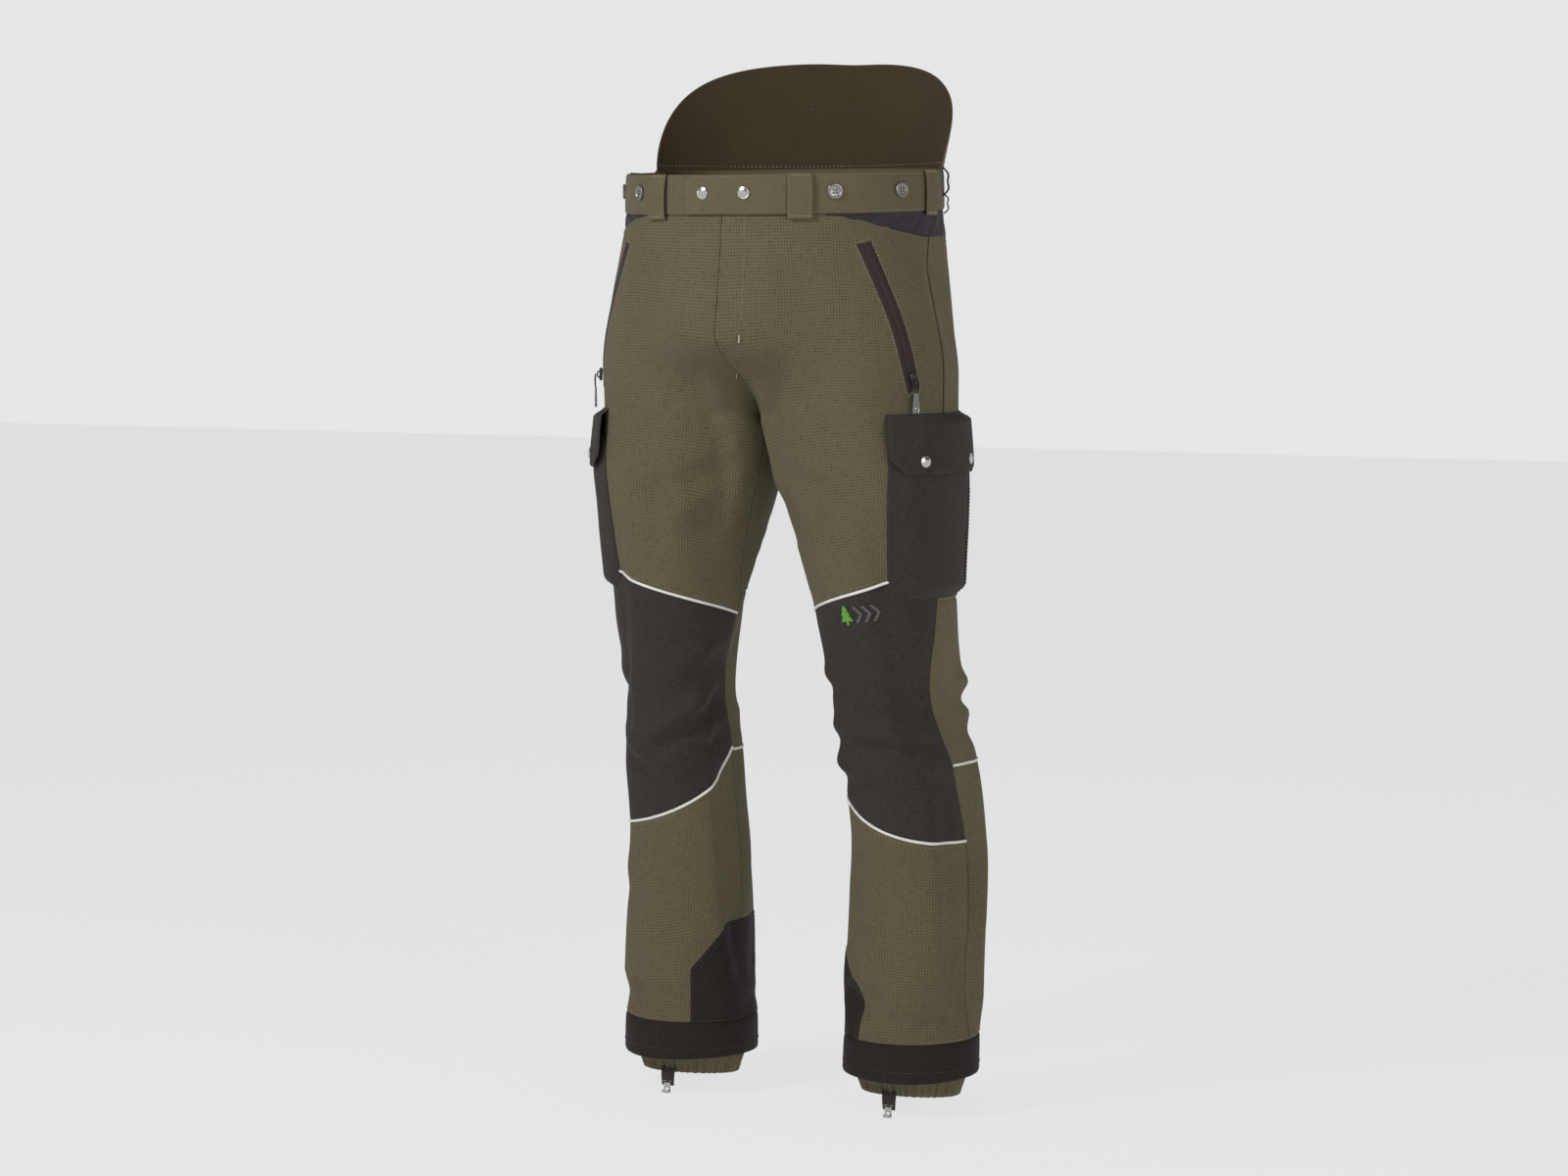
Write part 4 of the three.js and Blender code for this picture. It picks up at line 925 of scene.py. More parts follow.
def tab_outer(s, t):
    wide = (TAB["root"] - TAB["end"]) * 2.65
    puff = 0.5 * np.sin(np.pi * t) + 0.3 * np.sin(s * 17) * np.sin(np.pi * t)
    press = 0.7 * sum(np.exp(-(((s - at) * wide / 11) ** 2) - (((t - 0.46) * BAND / 11) ** 2))
                      for at in SNAP_SHARES)
    return TAB["low"] + TAB["thickness"] + puff - press - rounded(s, t, wide, BAND - 1, 1.6, 1.0)


SNAPS = {"waist_snap_inner": 8.5, "waist_snap_outer": -7}
SNAP_SHARES = [(angle - TAB["end"]) / (TAB["root"] - TAB["end"]) for angle in SNAPS.values()]
tab = sheet_piece("waist_tab_cloth", tab_surface, spread(22), spread(12), TAB["low"], tab_outer, TWILL)
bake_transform(tab)
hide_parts("waist_tab")
tab_lift = TAB["low"] + TAB["thickness"] + 0.15
waist_rows("waist_tab", TAB["end"] + 1.2, TAB["hinge"] - 1, tab_lift, (2.8, BAND - 3))
turn_down = np.linspace(2.8, BAND - 3, 12)
stitch("waist_tab", "olive", *waist_surface(TAB["end"] + 1.2, waist_top(TAB["end"]) - turn_down, tab_lift))


# The elastic insert: a dark knit, pulled into slanting wrinkles.
def stretch_low(angle):
    around = np.where(angle > 180, 360 - angle, angle)
    front = waist_top(around) - BAND - 28 * ease(between(around, 32, HIP_SEAM))
    back = waist_top(around) - BAND - mix(28, 58, ease((around - HIP_SEAM) / (180 - HIP_SEAM)))
    return np.where(around < HIP_SEAM, front, back)


def knit_surface(s, t):
    angle = mix(37, 323, s)
    high = waist_top(angle) - BAND + 1.0
    return waist_surface(angle, mix(high, np.minimum(stretch_low(angle) - 1.5, high - 0.6), t))


def knit_outer(s, t):
    angle = mix(37, 323, s)
    lean = np.where(angle > 180, -1, 1)
    slope = angle * 3.2 + lean * t * 34
    wrinkle = 0.8 * np.sin(slope / 5.4) + 0.5 * np.sin(slope / 2.9 + 2) + 0.35 * np.sin(slope / 8.1 + t * 5)
    return 0.9 + wrinkle * np.sin(np.pi * np.clip(t, 0.02, 0.98)) ** 0.6


knit = sheet_piece("waist_stretch_knit", knit_surface, np.linspace(0, 1, 420), spread(9), -0.9, knit_outer,
                   KNIT)
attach(knit, "root")
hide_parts("waist_stretch")

# ---------------------------------------------------------------- belt loops and webbing loops
LOOP_WIDTH, LOOP_THICKNESS = 26, 1.4


def loop_piece(name, angle, node, kink):
    half = LOOP_WIDTH / 2 / 168 * 180 / math.pi

    def surface(s, t):
        here = angle + mix(-half, half, s) + kink * 0.25 * np.sin(np.pi * t)
        return waist_surface(here, waist_top(angle) - mix(-0.6, BAND + 5.5, t))

    def bow(s, t):
        slack = np.clip(np.sin(np.pi * t), 0, 1) ** 0.42
        return BAND_THICKNESS + 0.9 + 3.3 * slack + 0.5 * kink * (s - 0.5) * np.sin(2 * np.pi * t)

    def outer(s, t):
        rows = 0.25 * (bump(s * LOOP_WIDTH, 3.4, 0.9) + bump(s * LOOP_WIDTH, LOOP_WIDTH - 3.4, 0.9))
        return bow(s, t) + LOOP_THICKNESS - rows - rounded(s, t, LOOP_WIDTH, 51, 1.1, 0.6)

    made = sheet_piece(name, surface, spread(9), spread(22), bow, outer, TWILL)
    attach(made, "root")
    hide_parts(node)
    down = np.linspace(0.03, 0.97, 26)
    for share in (0.12, 0.88):
        points, out = surface(np.full(26, share), down)
        stitch("root", "olive", points + out * (bow(share, down) + LOOP_THICKNESS + 0.05)[:, None], out)
    for share in (0.045, 0.935):
        points, out = surface(np.array([0.08, 0.92]), np.full(2, share))
        rise = bow(np.array([0.08, 0.92]), np.full(2, share)) + LOOP_THICKNESS
        stitch("root", "olive", points + out * rise[:, None], out, pitch=0.9, length=2.4, width=0.7,
               turn=math.pi / 2)


for side, sign in SIDES.items():
    loop_piece(f"belt_loop_front_cloth_{side}", 28 * sign, f"belt_loop_front_{side}", sign * 0.9)
    loop_piece(f"belt_loop_side_cloth_{side}", 86 * sign, f"belt_loop_side_{side}", -sign * 0.7)


def webbing_loop(name, angle, high, low, stand):
    """A narrow loop of black webbing, sewn into the waistband at both ends and standing edge-on."""
    t = np.linspace(0, 1, 26)
    z = mix(high, low, t) + waist_top(angle)
    lift = 2.0 + stand * np.sin(np.pi * t) ** 0.7 + 1.6 * np.sin(3 * np.pi * t) * np.sin(np.pi * t)
    points, out = waist_surface(np.full(26, float(angle)), z, lift)
    across = np.cross(out, np.array([0, 0, 1.0]))
    along = np.gradient(points, axis=0)
    normal = np.cross(across, along)
    normal /= np.linalg.norm(normal, axis=1, keepdims=True)
    normal *= np.sign((normal * out).sum(-1).mean())
    width = np.linspace(-5, 5, 6)
    middle = points[None] - across[None] * width[:, None, None]
    thick = np.array([0.35, 0.75, 0.8, 0.8, 0.75, 0.35])[:, None, None]
    made = cloth_solid(name, middle + normal[None] * thick, middle - normal[None] * thick, WEBBING)
    fix_normals(made)
    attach(made, "root")


for side, sign in SIDES.items():
    webbing_loop(f"webbing_loop_upper_{side}", 104 * sign, 3, -30, 8)
    webbing_loop(f"webbing_loop_lower_{side}", 111 * sign, -28, -50, 6)

# ---------------------------------------------------------------- kidney panel
KIDNEY = {"half": 78, "height": 122, "flare": 0.17, "sunk": -3}


def kidney_top(angle):
    across = (angle - 180) / KIDNEY["half"]
    off = np.abs(across - 0.09 * np.maximum(0, 1 - across**2))
    return 3 + KIDNEY["height"] * np.maximum(0, 1 - off**2.8) ** 0.72 - 2.2 * bump(angle, 178, 9)


def kidney_surface(s, t):
    """From below the waistband's edge up to the rim; t runs down."""
    angle = 180 + KIDNEY["half"] * np.sin((s - 0.5) * math.pi) * 0.999
    rise = mix(np.maximum(kidney_top(angle), 2.2), KIDNEY["sunk"], t) + waist_top(angle)
    base, out = waist_surface(angle, np.zeros_like(angle))
    flat = base * np.array([1, 1, 0])
    grow = 1 + KIDNEY["flare"] * np.maximum(rise, 0) / np.linalg.norm(flat, axis=-1)
    wave = 1.7 * np.sin(np.radians(angle) * 7 + 0.6) + 1.2 * np.sin(np.radians(angle) * 4 - rise / 40)
    point = flat * grow[..., None] + out * (wave * between(rise, 8, 90))[..., None]
    point[..., 2] = rise
    return point, out


KIDNEY_ACROSS = np.linspace(0, 1, 97)


def kidney_edge(s, t, size=2.4, dip=0.5):
    reach = t * np.maximum(kidney_top(180 + KIDNEY["half"] * np.sin((s - 0.5) * math.pi)), 3)
    return dip * np.exp(-((reach / size) ** 2)), reach


def kidney_outer(s, t):
    edge, reach = kidney_edge(s, t)
    return 2.3 - edge - 0.35 * bump(reach, 4.5, 0.9)


def kidney_inner(s, t):
    edge, reach = kidney_edge(s, t)
    return 0.1 + edge + 0.45 * bump(reach, 4.5, 0.9) - 0.5 * bump((1 - t) * 100, 9, 5)


shell = sheet_piece("kidney_panel_twill", kidney_surface, KIDNEY_ACROSS, spread(26), 1.2, kidney_outer, TWILL)
# The inner sheet's dark lining colour is partly painted shade of the panel's inside.
inside = sheet_piece("kidney_panel_lining_shaded", kidney_surface, KIDNEY_ACROSS, spread(26), kidney_inner, 1.15,
                     KIDNEY_LINING_SHADED)
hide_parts("kidney_panel")


def kidney_path(s, t, lift):
    point, out = kidney_surface(s, t)
    return point + out * lift, out


rim = np.linspace(0.07, 0.93, 150)
rim_drop = 4.5 / np.maximum(kidney_top(180 + KIDNEY["half"] * np.sin((rim - 0.5) * math.pi)), 6)
for lift, sign, thread in ((2.2, 1, "olive"), (0.1, -1, "dark")):
    points, out = kidney_path(rim, rim_drop, lift)
    stitch("kidney", thread, points, out * sign)
low = np.linspace(0.06, 0.94, 150)
low_share = 1 - (8 + 2 * np.sin(low * 9)) / kidney_top(180 + KIDNEY["half"] * np.sin((low - 0.5) * math.pi))
for lift, sign, thread in ((2.3, 1, "olive"), (0.0, -1, "pale")):
    points, out = kidney_path(low, low_share, lift)
    stitch("kidney", thread, points, out * sign, pitch=5.0, length=2.6)
for share in (0.485, 0.55):
    points, out = kidney_path(np.array([share]), np.array([0.42]), 0.05)
    bartack("kidney", "dark", points[0], -out[0], (1, 0.2, 0), 6)
    bartack("kidney", "dark", points[0] + np.array([0, 0, -2.5]), -out[0], (0.2, 0, 1), 4)


def on_kidney(piece):
    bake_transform(piece)


on_kidney(shell)
on_kidney(inside)

# ---------------------------------------------------------------- seams of the legs
def seam_rows(side, half, u, z, offsets, thread="olive", lift=FABRIC + 0.25, width_mm=300):
    """Rows of stitches beside a seam: offsets in mm across it."""
    for offset in offsets:
        points, out = cloth_point(side, half, np.clip(u + offset / width_mm, 0, 1), z, np.full(len(z), lift))
        stitch(f"leg_{side}", thread, points, out)


def level_rows(side, half, u, z, offsets, thread="olive", lift=FABRIC + 0.25):
    """Rows of stitches along a seam that runs across: offsets in mm up from it."""
    for offset in offsets:
        points, out = cloth_point(side, half, u, z + offset, np.full(len(u), lift))
        stitch(f"leg_{side}", thread, points, out)


ACROSS = np.linspace(0.004, 0.996, 60)
for side in SIDES:
    down = np.linspace(-76, upper_piping(1.0) + 4, 120)
    seam_rows(side, "back", np.zeros(120), down, (2.4,), width_mm=330)
    down = np.linspace(upper_piping(1.0) - 4, lower_piping(1.0) + 4, 100)
    seam_rows(side, "front", np.ones(100), down, (-2.2,), "dark", width_mm=220)
    down = np.linspace(lower_piping(1.0) - 4, HEM + HEM_BAND + 3, 70)
    seam_rows(side, "back", np.zeros(70), down, (2.2,), width_mm=250)
    level_rows(side, "front", ACROSS, upper_piping(ACROSS), (5.2,))
    level_rows(side, "front", ACROSS, lower_piping(ACROSS), (-5.0,))
    level_rows(side, "front", ACROSS, HEM + HEM_BAND + 0 * ACROSS, (2.6,))
    level_rows(side, "back", ACROSS, HEM + HEM_BAND + 0 * ACROSS, (2.6,))
    level_rows(side, "back", ACROSS, KNEE_BACK[0] + 0 * ACROSS, (2.6,))
    u = np.linspace(0.16, 0.98, 60)
    level_rows(side, "front", u, front_top(u), (-2.6,))
    u = np.linspace(0.02, 0.98, 60)
    level_rows(side, "back", u, back_top(u), (-2.8,))
    seam_rows(side, "back", np.ones(60), np.linspace(-110, CROTCH + 6, 60), (-2.4, -8.0), width_mm=330)

# The fly: its J-shaped row, the edge of the doubled cloth and two bartacks.
HIP_QUARTER = 300  # mm of cloth round a quarter of the hips
FRONT_WIDTH = 290  # mm of cloth across the front beside the fly
J_Z = np.concatenate([np.linspace(-BAND - 3, FLY_END + 36, 40),
                      FLY_END + 36 - 34 * np.sin(np.linspace(0, 1.35, 14))])
J_X = np.concatenate([np.full(40, FLY_WIDTH - 2.0), 4 + (FLY_WIDTH - 6) * np.cos(np.linspace(0, 1.35, 14))])
points, out = cloth_point("left", "front", J_X / (HIP_SEAM / 90 * HIP_QUARTER), J_Z,
                          np.full(len(J_X), FABRIC + 1.1))
stitch("root", "olive", points, out)
edge = np.linspace(-BAND - 2, CROTCH + 40, 70)
points, out = cloth_point("left", "front", np.full(70, 2.6 / FRONT_WIDTH), edge, np.full(70, FABRIC + 0.9))
stitch("root", "olive", points, out)
points, out = cloth_point("left", "front", np.full(50, 8.0 / FRONT_WIDTH),
                          np.linspace(FLY_END - 4, CROTCH + 30, 50),
                          np.full(50, FABRIC + 0.2))
stitch("root", "olive", points, out)
points, out = cloth_point("left", "front", np.array([0.094]), np.array([FLY_END + 10.0]),
                          np.array([FABRIC + 1.2]))
bartack("root", "pale", points[0], out[0], (0, 0.1, 1), 11, 2.2)
points, out = cloth_point("left", "front", np.array([0.008]), np.array([-226.0]), np.array([FABRIC + 0.8]))
bartack("root", "pale", points[0], out[0], (0.1, 0.1, 1), 12, 2.0)


def mark_line(side, path):
    """A dart's short sewn crease."""
    angle, z = np.linspace(path[0], path[2], 24), np.linspace(path[1], path[3], 24)
    points, out = leg_cloth(side, angle, z, FABRIC + 0.3)
    stitch(f"leg_{side}", "dark", points, out)


for side in SIDES:
    for dart in DARTS[side]:
        mark_line(side, dart)


# ---------------------------------------------------------------- reflective piping
def piping(name, side, half, u, z, node=None):
    points, out = cloth_point(side, half, u, z, np.full(len(u), FABRIC + 0.2))
    made = tube(name, points, out, 1.75, REFLECTIVE, 10, 0.85)
    fix_normals(made)
    on_leg(made)
    if node:
        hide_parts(node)


for side in SIDES:
    u = np.linspace(0.004, 0.775, 70)
    piping(f"upper_piping_cord_{side}", side, "front", u, upper_piping(u), f"upper_piping_{side}")
    u = np.linspace(0.002, 0.998, 110)
    piping(f"lower_piping_cord_{side}", side, "front", u, lower_piping(u), f"lower_piping_{side}")
    u = np.linspace(0.003, 0.997, 80)
    piping(f"rear_piping_cord_{side}", side, "back", u, KNEE_BACK[1] + 0 * u)


# ---------------------------------------- hem bands, ankle patches and gaiters
BAND_TOP = HEM + HEM_BAND
RING = np.linspace(-85, 275, 121)
for side in SIDES:
    flip = SIDES[side] < 0
    rows = BAND_TOP - 0.4 - (HEM_BAND - 0.6) * spread(12)
    points, out = leg_cloth(side, RING[:, None], rows[None, :])
    share = (BAND_TOP - rows)[None, :] / HEM_BAND
    wave = 0.5 * np.sin(np.radians(RING) * 5 + (1.0 if flip else 0.0))[:, None] * share
    lift = 2.0 + wave - 1.1 * np.exp(-((share * HEM_BAND / 2.0) ** 2)) - 0.9 * np.exp(
        -(((1 - share) * HEM_BAND / 1.6) ** 2))
    sag = 1.4 * np.sin(np.radians(RING) * 2 + 0.8)[:, None] * share**3
    points = points - np.array([0, 0, 1.0]) * sag[..., None]
    band = cloth_solid(f"hem_band_cloth_{side}", points + out * lift[..., None], points + out * 0.1, COATED,
                       flip,
                       ring=True)
    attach(band, f"shin_{side}")
    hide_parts(f"hem_band_{side}")
    points, out = leg_cloth(side, RING, np.full(len(RING), HEM + 12.0), 2.2)
    stitch(f"shin_{side}", "dark", points, out)
    for angle in (inner_seam(HEM) + 3, 3.0):
        points, out = leg_cloth(side, np.full(14, float(angle)), np.linspace(BAND_TOP - 2, HEM + 1, 14), 2.2)
        stitch(f"shin_{side}", "dark", points, out)

PATCH = {"top": HEM + 160, "corner": HEM + 108, "front": -27, "shoulder": -59, "back": -140}
for side in SIDES:
    flip = SIDES[side] < 0
    s, t = np.meshgrid(spread(26), spread(30), indexing="ij")
    angle = mix(PATCH["back"], PATCH["front"], s)
    top = mix(PATCH["corner"], PATCH["top"], between(-angle, -PATCH["front"], -PATCH["shoulder"]))
    z = mix(top, BAND_TOP + 1, t)
    reach = np.minimum(np.minimum(s, 1 - s) * 155, np.minimum(t * (top - BAND_TOP), 99))
    lift = FABRIC + 1.1 - 0.5 * np.exp(-((reach / 1.2) ** 2)) - 0.25 * bump(reach, 5.2, 1.6)
    around = np.where(angle < inner_seam(z), angle + 360, angle)
    points, out = leg_cloth(side, around, z)
    patch = cloth_solid(f"ankle_patch_cloth_{side}", points + out * lift[..., None],
                        points + out * (FABRIC + 0.1), COATED, flip)
    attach(patch, f"shin_{side}")
    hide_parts(f"ankle_patch_{side}")
    for inset in (2.4, 6.6):
        edge_front, edge_back = PATCH["front"] - inset * 0.74, PATCH["back"] + inset * 0.74
        outline = [(edge_front, BAND_TOP + 2), (edge_front, PATCH["corner"] - inset * 0.7),
                   (PATCH["shoulder"] - inset * 0.3, PATCH["top"] - inset), (edge_back, PATCH["top"] - inset),
                   (edge_back, BAND_TOP + 2)]
        for a, b in zip(outline[:-1], outline[1:]):
            count = max(4, int(math.hypot((a[0] - b[0]) * 1.35, a[1] - b[1]) / 4))
            angle, z = np.linspace(a[0], b[0], count), np.linspace(a[1], b[1], count)
            angle = np.where(angle < inner_seam(z), angle + 360, angle)
            points, out = leg_cloth(side, angle, z, FABRIC + 1.15)
            stitch(f"shin_{side}", "dark", points, out)


def gaiter_place(angle, v, high=0.0):
    """The elastic gaiter, gathered to a smaller ring below the hem; v runs down."""
    turn = np.radians(angle)
    z = mix(HEM + 24, HEM - 26 + 6 * np.cos(turn), v)
    x, y, wide, deep = leg_section(z)
    shrink = mix(1.0, 56 / 77.5, ease(v / 0.85))
    gather = 1.5 * np.sin(turn * 46 + 1.5 * np.sin(turn * 5)) + 0.8 * np.sin(turn * 29 + 2)
    bulge = 3.2 * np.sin(np.pi * between(v, 0.4, 1.0)) ** 1.3
    reach = -0.6 + high + gather * between(v, 0.3, 0.75) + bulge
    return np.stack([x + (wide * shrink + reach) * np.sin(turn), y - (deep * shrink + reach) * np.cos(turn),
                     z + 0.4 * gather * between(v, 0.8, 1.0)], -1)


for side, sign in SIDES.items():
    angle, v = np.meshgrid(np.linspace(0, 360, 481), spread(18), indexing="ij")
    mirror = np.array([sign, 1, 1])
    gaiter = cloth_solid(f"gaiter_cloth_{side}", gaiter_place(angle, v) * mirror,
                         gaiter_place(angle, v, -1.0) * mirror, RIPSTOP, flip=sign < 0, ring=True)
    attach(gaiter, f"shin_{side}")
    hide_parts(f"gaiter_{side}")
    elastic = gaiter_place(np.linspace(0, 360, 241), np.full(241, 0.9), 0.5)
    out = elastic - gaiter_place(np.linspace(0, 360, 241), np.full(241, 0.9), -0.5)
    stitch(f"shin_{side}", "olive", elastic * mirror, out * mirror, pitch=3.4)


# ---------------------------------------------------------------- cargo pockets
POCKET_LOW = 3.15
MOUTH_DROP = 30


def pocket_surface(side):
    def surface(s, t):
        angle = mix(POCKET["front"] - 11 * t, POCKET["back"], s)
        mouth = POCKET["top"] - MOUTH_DROP * between(np.abs(2 * s - 1), 0.33, 1)
        low = POCKET["top"] - POCKET["height"]
        corner = 15 * (1 - np.clip(s / 0.1, 0, 1))
        return leg_cloth(side, angle, mix(mouth, low + corner, t))
    return surface


def pocket_rise():
    def rise(s, t):
        """The front edge is sewn flat; the bellows lifts the rest and folds back along the rear edge."""
        wide, tall = 150.0, 200.0
        front = ease(s * wide / 46) * 8.2 + 1.2 * (1 - np.exp(-s * wide / 1.6))
        crease = (0.9 * np.sin(t * 7 + s * 3) + 0.5 * np.sin(t * 15 - s * 8)) * np.sin(np.pi * s)
        rear = 2.4 * ease((s - 0.55) / 0.35) * np.sin(np.pi * np.clip(t, 0, 1)) ** 0.7
        gusset = 7.5 * bump(s, 0.86 + 0.015 * np.sin(t * 6), 0.022)
        gusset = gusset * ease((t - 0.2) / 0.2) * ease((1 - t) / 0.12)
        body = front + crease + rear - gusset
        falls = 1 - np.exp(-(((1 - s) * wide / 4.5) ** 2))
        hem = 1 - np.exp(-(((1 - t) * tall / 7) ** 2))
        return POCKET_LOW - 0.6 + body * falls * hem
    return rise


def flap_surface(side):
    def surface(s, t):
        angle = mix(POCKET["front"] - 1, POCKET["back"] + 1, s)
        drop = 68 - 16 * (1 - np.clip(np.minimum(s, 1 - s) / 0.11, 0, 1))
        return leg_cloth(side, angle, FLAP_TOP - t * drop)
    return surface


def flap_rise():
    rise = pocket_rise()

    def lifted(s, t):
        under = np.maximum(rise(s, 0.05 + t * 0.25), POCKET_LOW + 5.5)
        slack = 0.8 * np.sin(s * 9 + 1) * t + 1.1 * np.exp(-((s / 0.07) ** 2)) * t * np.sin(t * 5)
        return mix(2.1, under + 1.7 + slack + 1.2 * t, ease(t / 0.15))
    return lifted


for side in SIDES:
    flip = SIDES[side] < 0
    rise = pocket_rise()
    body = sheet_piece(f"cargo_pocket_cloth_{side}", pocket_surface(side), spread(34), spread(42),
                       lambda s, t: rise(s, t) - 1.1 * np.clip((rise(s, t) - 2.4) / 1.2, 0.2, 1), rise,
                       CHARCOAL,
                       flip)
    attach(body, "root")
    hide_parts(f"cargo_pocket_{side}")
    lifted = flap_rise()
    flap = sheet_piece(f"cargo_flap_cloth_{side}", flap_surface(side), spread(36), spread(20), lifted,
                       lambda s, t: lifted(s, t) + 1.9 - rounded(s, t, 152, 62, 1.3, 0.8)
                       - 0.3 * bump(np.minimum(s, 1 - s) * 152, 5, 1.3) - 0.3 * bump((1 - t) * 64, 5, 1.3),
                       CHARCOAL, flip)
    middle = leg_cloth(side, np.array([81.0]), np.array([float(FLAP_TOP)]))[0][0] * MM
    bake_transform(flap)
    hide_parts(f"cargo_flap_{side}")

    surface = flap_surface(side)
    s = np.concatenate([np.full(20, 0.022), np.linspace(0.022, 0.115, 8), np.linspace(0.13, 0.87, 50),
                        np.linspace(0.885, 0.978, 8), np.full(20, 0.978)])
    t = np.concatenate([np.linspace(0.1, 0.93, 20), np.full(8, 0.935), np.full(50, 0.945), np.full(8, 0.935),
                        np.linspace(0.93, 0.1, 20)])
    points, out = surface(s, t)
    stitch(f"pocket_flap_{side}", "dark", points + out * (lifted(s, t) + 1.75)[:, None], out)
    s = np.linspace(0.02, 0.98, 50)
    points, out = surface(s, np.full(50, 0.035))
    stitch("root", "dark", points + out * (lifted(s, 0.035 + 0 * s) + 1.7)[:, None], out)
    surface = pocket_surface(side)
    for inset in (0.016, 0.06):
        s = np.concatenate([np.full(50, inset), np.linspace(0.1, 0.93, 50)])
        t = np.concatenate([np.linspace(0.2, 0.965, 50), np.full(50, 0.985 - inset / 3)])
        points, out = surface(s, t)
        stitch("root", "dark", points + out * (rise(s, t) + 0.15)[:, None], out)
    rear_row = np.full(50, 0.945), np.linspace(0.3, 0.95, 50)
    points, out = surface(*rear_row)
    stitch("root", "dark", points + out * (rise(*rear_row) + 0.2)[:, None], out)

# ---------------------------------------------------------------- hip pocket zips
ZIP_LIFT = 1.226


def arc_of(places):
    a, b, c = places
    ab, ac = b - a, c - a
    axis = np.cross(ab, ac)
    centre = a + (np.cross(axis, ab) * (ac @ ac) + np.cross(ac, axis) * (ab @ ab)) / (2 * axis @ axis)
    axis /= np.linalg.norm(axis)
    sweep = math.acos(np.clip((a - centre) @ (c - centre) / ((a - centre) @ (a - centre)), -1, 1))
    return centre, axis, sweep


def turned(vector, axis, angle):
    """Rodrigues' rotation of vectors about an axis, by an array of angles."""
    angle = np.asarray(angle, float)[..., None]
    return (vector * np.cos(angle) + np.cross(axis, vector) * np.sin(angle)
            + axis * (vector @ axis)[..., None] * (1 - np.cos(angle)))


ZIP_U, ZIP_Z = (np.array([mix(ZIP_ENDS[0][k], ZIP_ENDS[1][k], t) for t in (0, 0.5, 1)], float) for k in (0,
                                                                                                         1))
ZIP_OUT = across_down(lambda a, b: plain("front", a, b), ZIP_U, ZIP_Z)
ZIP_CENTRE, ZIP_AXIS, ZIP_SWEEP = arc_of(plain("front", ZIP_U, ZIP_Z) + ZIP_OUT * (FABRIC + ZIP_LIFT))
ZIP_START = plain("front", ZIP_U, ZIP_Z)[0] + ZIP_OUT[0] * (FABRIC + ZIP_LIFT) - ZIP_CENTRE


def on_zip(share):
    """Places along the left zip's arc from its lower end, and the directions right, up and out there."""
    share = np.asarray(share, float)
    radius = turned(ZIP_START, ZIP_AXIS, share * ZIP_SWEEP)
    up = np.cross(ZIP_AXIS, radius)
    up /= np.linalg.norm(up, axis=-1, keepdims=True)
    out = turned(ZIP_OUT[1], ZIP_AXIS, (share - 0.5) * ZIP_SWEEP)
    out = out - up * (out * up).sum(-1, keepdims=True)
    out /= np.linalg.norm(out, axis=-1, keepdims=True)
    return ZIP_CENTRE + radius, np.cross(up, out), up, out


def beside_zip(share, across, lift):
    """Places on the left front panel, beside the zip's line by a distance across it, lifted outwards."""
    u, z = mix(ZIP_ENDS[0][0], ZIP_ENDS[1][0], share), mix(ZIP_ENDS[0][1], ZIP_ENDS[1][1], share)
    step = 0.01
    per_u = np.linalg.norm(plain("front", u + step, z) - plain("front", u - step, z), axis=-1) / (2 * step)
    run, climb = (ZIP_ENDS[1][0] - ZIP_ENDS[0][0]) * per_u, ZIP_ENDS[1][1] - ZIP_ENDS[0][1]
    length = np.hypot(run, climb)
    return cloth_point("left", "front", u + across * climb / length / per_u, z - across * run / length, lift)


def zip_strip(s, t):
    slant = (s - 0.5) * 0.016 * np.where(t < 0.5, -1, 1) * np.exp(-((np.minimum(t, 1 - t) / 0.03) ** 2))
    return beside_zip(1.012 - t * 1.024 + slant, (s - 0.5) * 16.5, FABRIC + 0.3)


def zip_face(s, t):
    teeth = 0.22 * np.sin(t * 165 / 2.0 * 2 * math.pi) * bump(s, 0.5, 0.07)
    groove = 0.75 * bump(s, 0.5, 0.045)
    return 0.85 - groove + teeth - rounded(s, t, 16.5, 166, 1.0, 0.5)


for side, sign in SIDES.items():
    mirror = np.array([sign, 1, 1])
    strip = sheet_piece(f"hip_zip_cloth_{side}", lambda s, t: tuple(v * mirror for v in zip_strip(s, t)),
                        spread(12), np.linspace(0, 1, 240), -1.3, zip_face, ZIP_TAPE, flip=sign < 0)
    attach(strip, "root")
    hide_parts(f"hip_zip_tape_{side}")
    share = np.linspace(-0.012, 1.012, 60)
    for across in (-10.2, 10.2):
        point, out = beside_zip(share, across, FABRIC + 0.1)
        stitch("root", "pale", point * mirror, out * mirror)
    for end in (-0.03, 1.03):
        bar, out = beside_zip(np.full(8, end), np.linspace(-10, 10, 8), FABRIC + 0.1)
        stitch("root", "pale", bar * mirror, out * mirror)


# ---------------------------------------------------------------- hardware
def start_object(name, material):
    piece = bpy.context.object
    piece.name = name
    piece.data.name = name
    piece.data.materials.clear()
    piece.data.materials.append(material)
    return piece


def only(piece):
    if bpy.context.mode != "OBJECT":
        bpy.ops.object.mode_set(mode="OBJECT")
    bpy.ops.object.select_all(action="DESELECT")
    piece.select_set(True)
    bpy.context.view_layer.objects.active = piece


def pick(piece, wanted):
    """Into edit mode with just the faces selected whose middle and normal are wanted."""
    only(piece)
    bpy.ops.object.mode_set(mode="EDIT")
    bpy.ops.mesh.select_mode(type="FACE")
    bpy.ops.mesh.select_all(action="DESELECT")
    bpy.ops.object.mode_set(mode="OBJECT")
    for face in piece.data.polygons:
        face.select = bool(wanted(face.center / MM, face.normal))
    bpy.ops.object.mode_set(mode="EDIT")


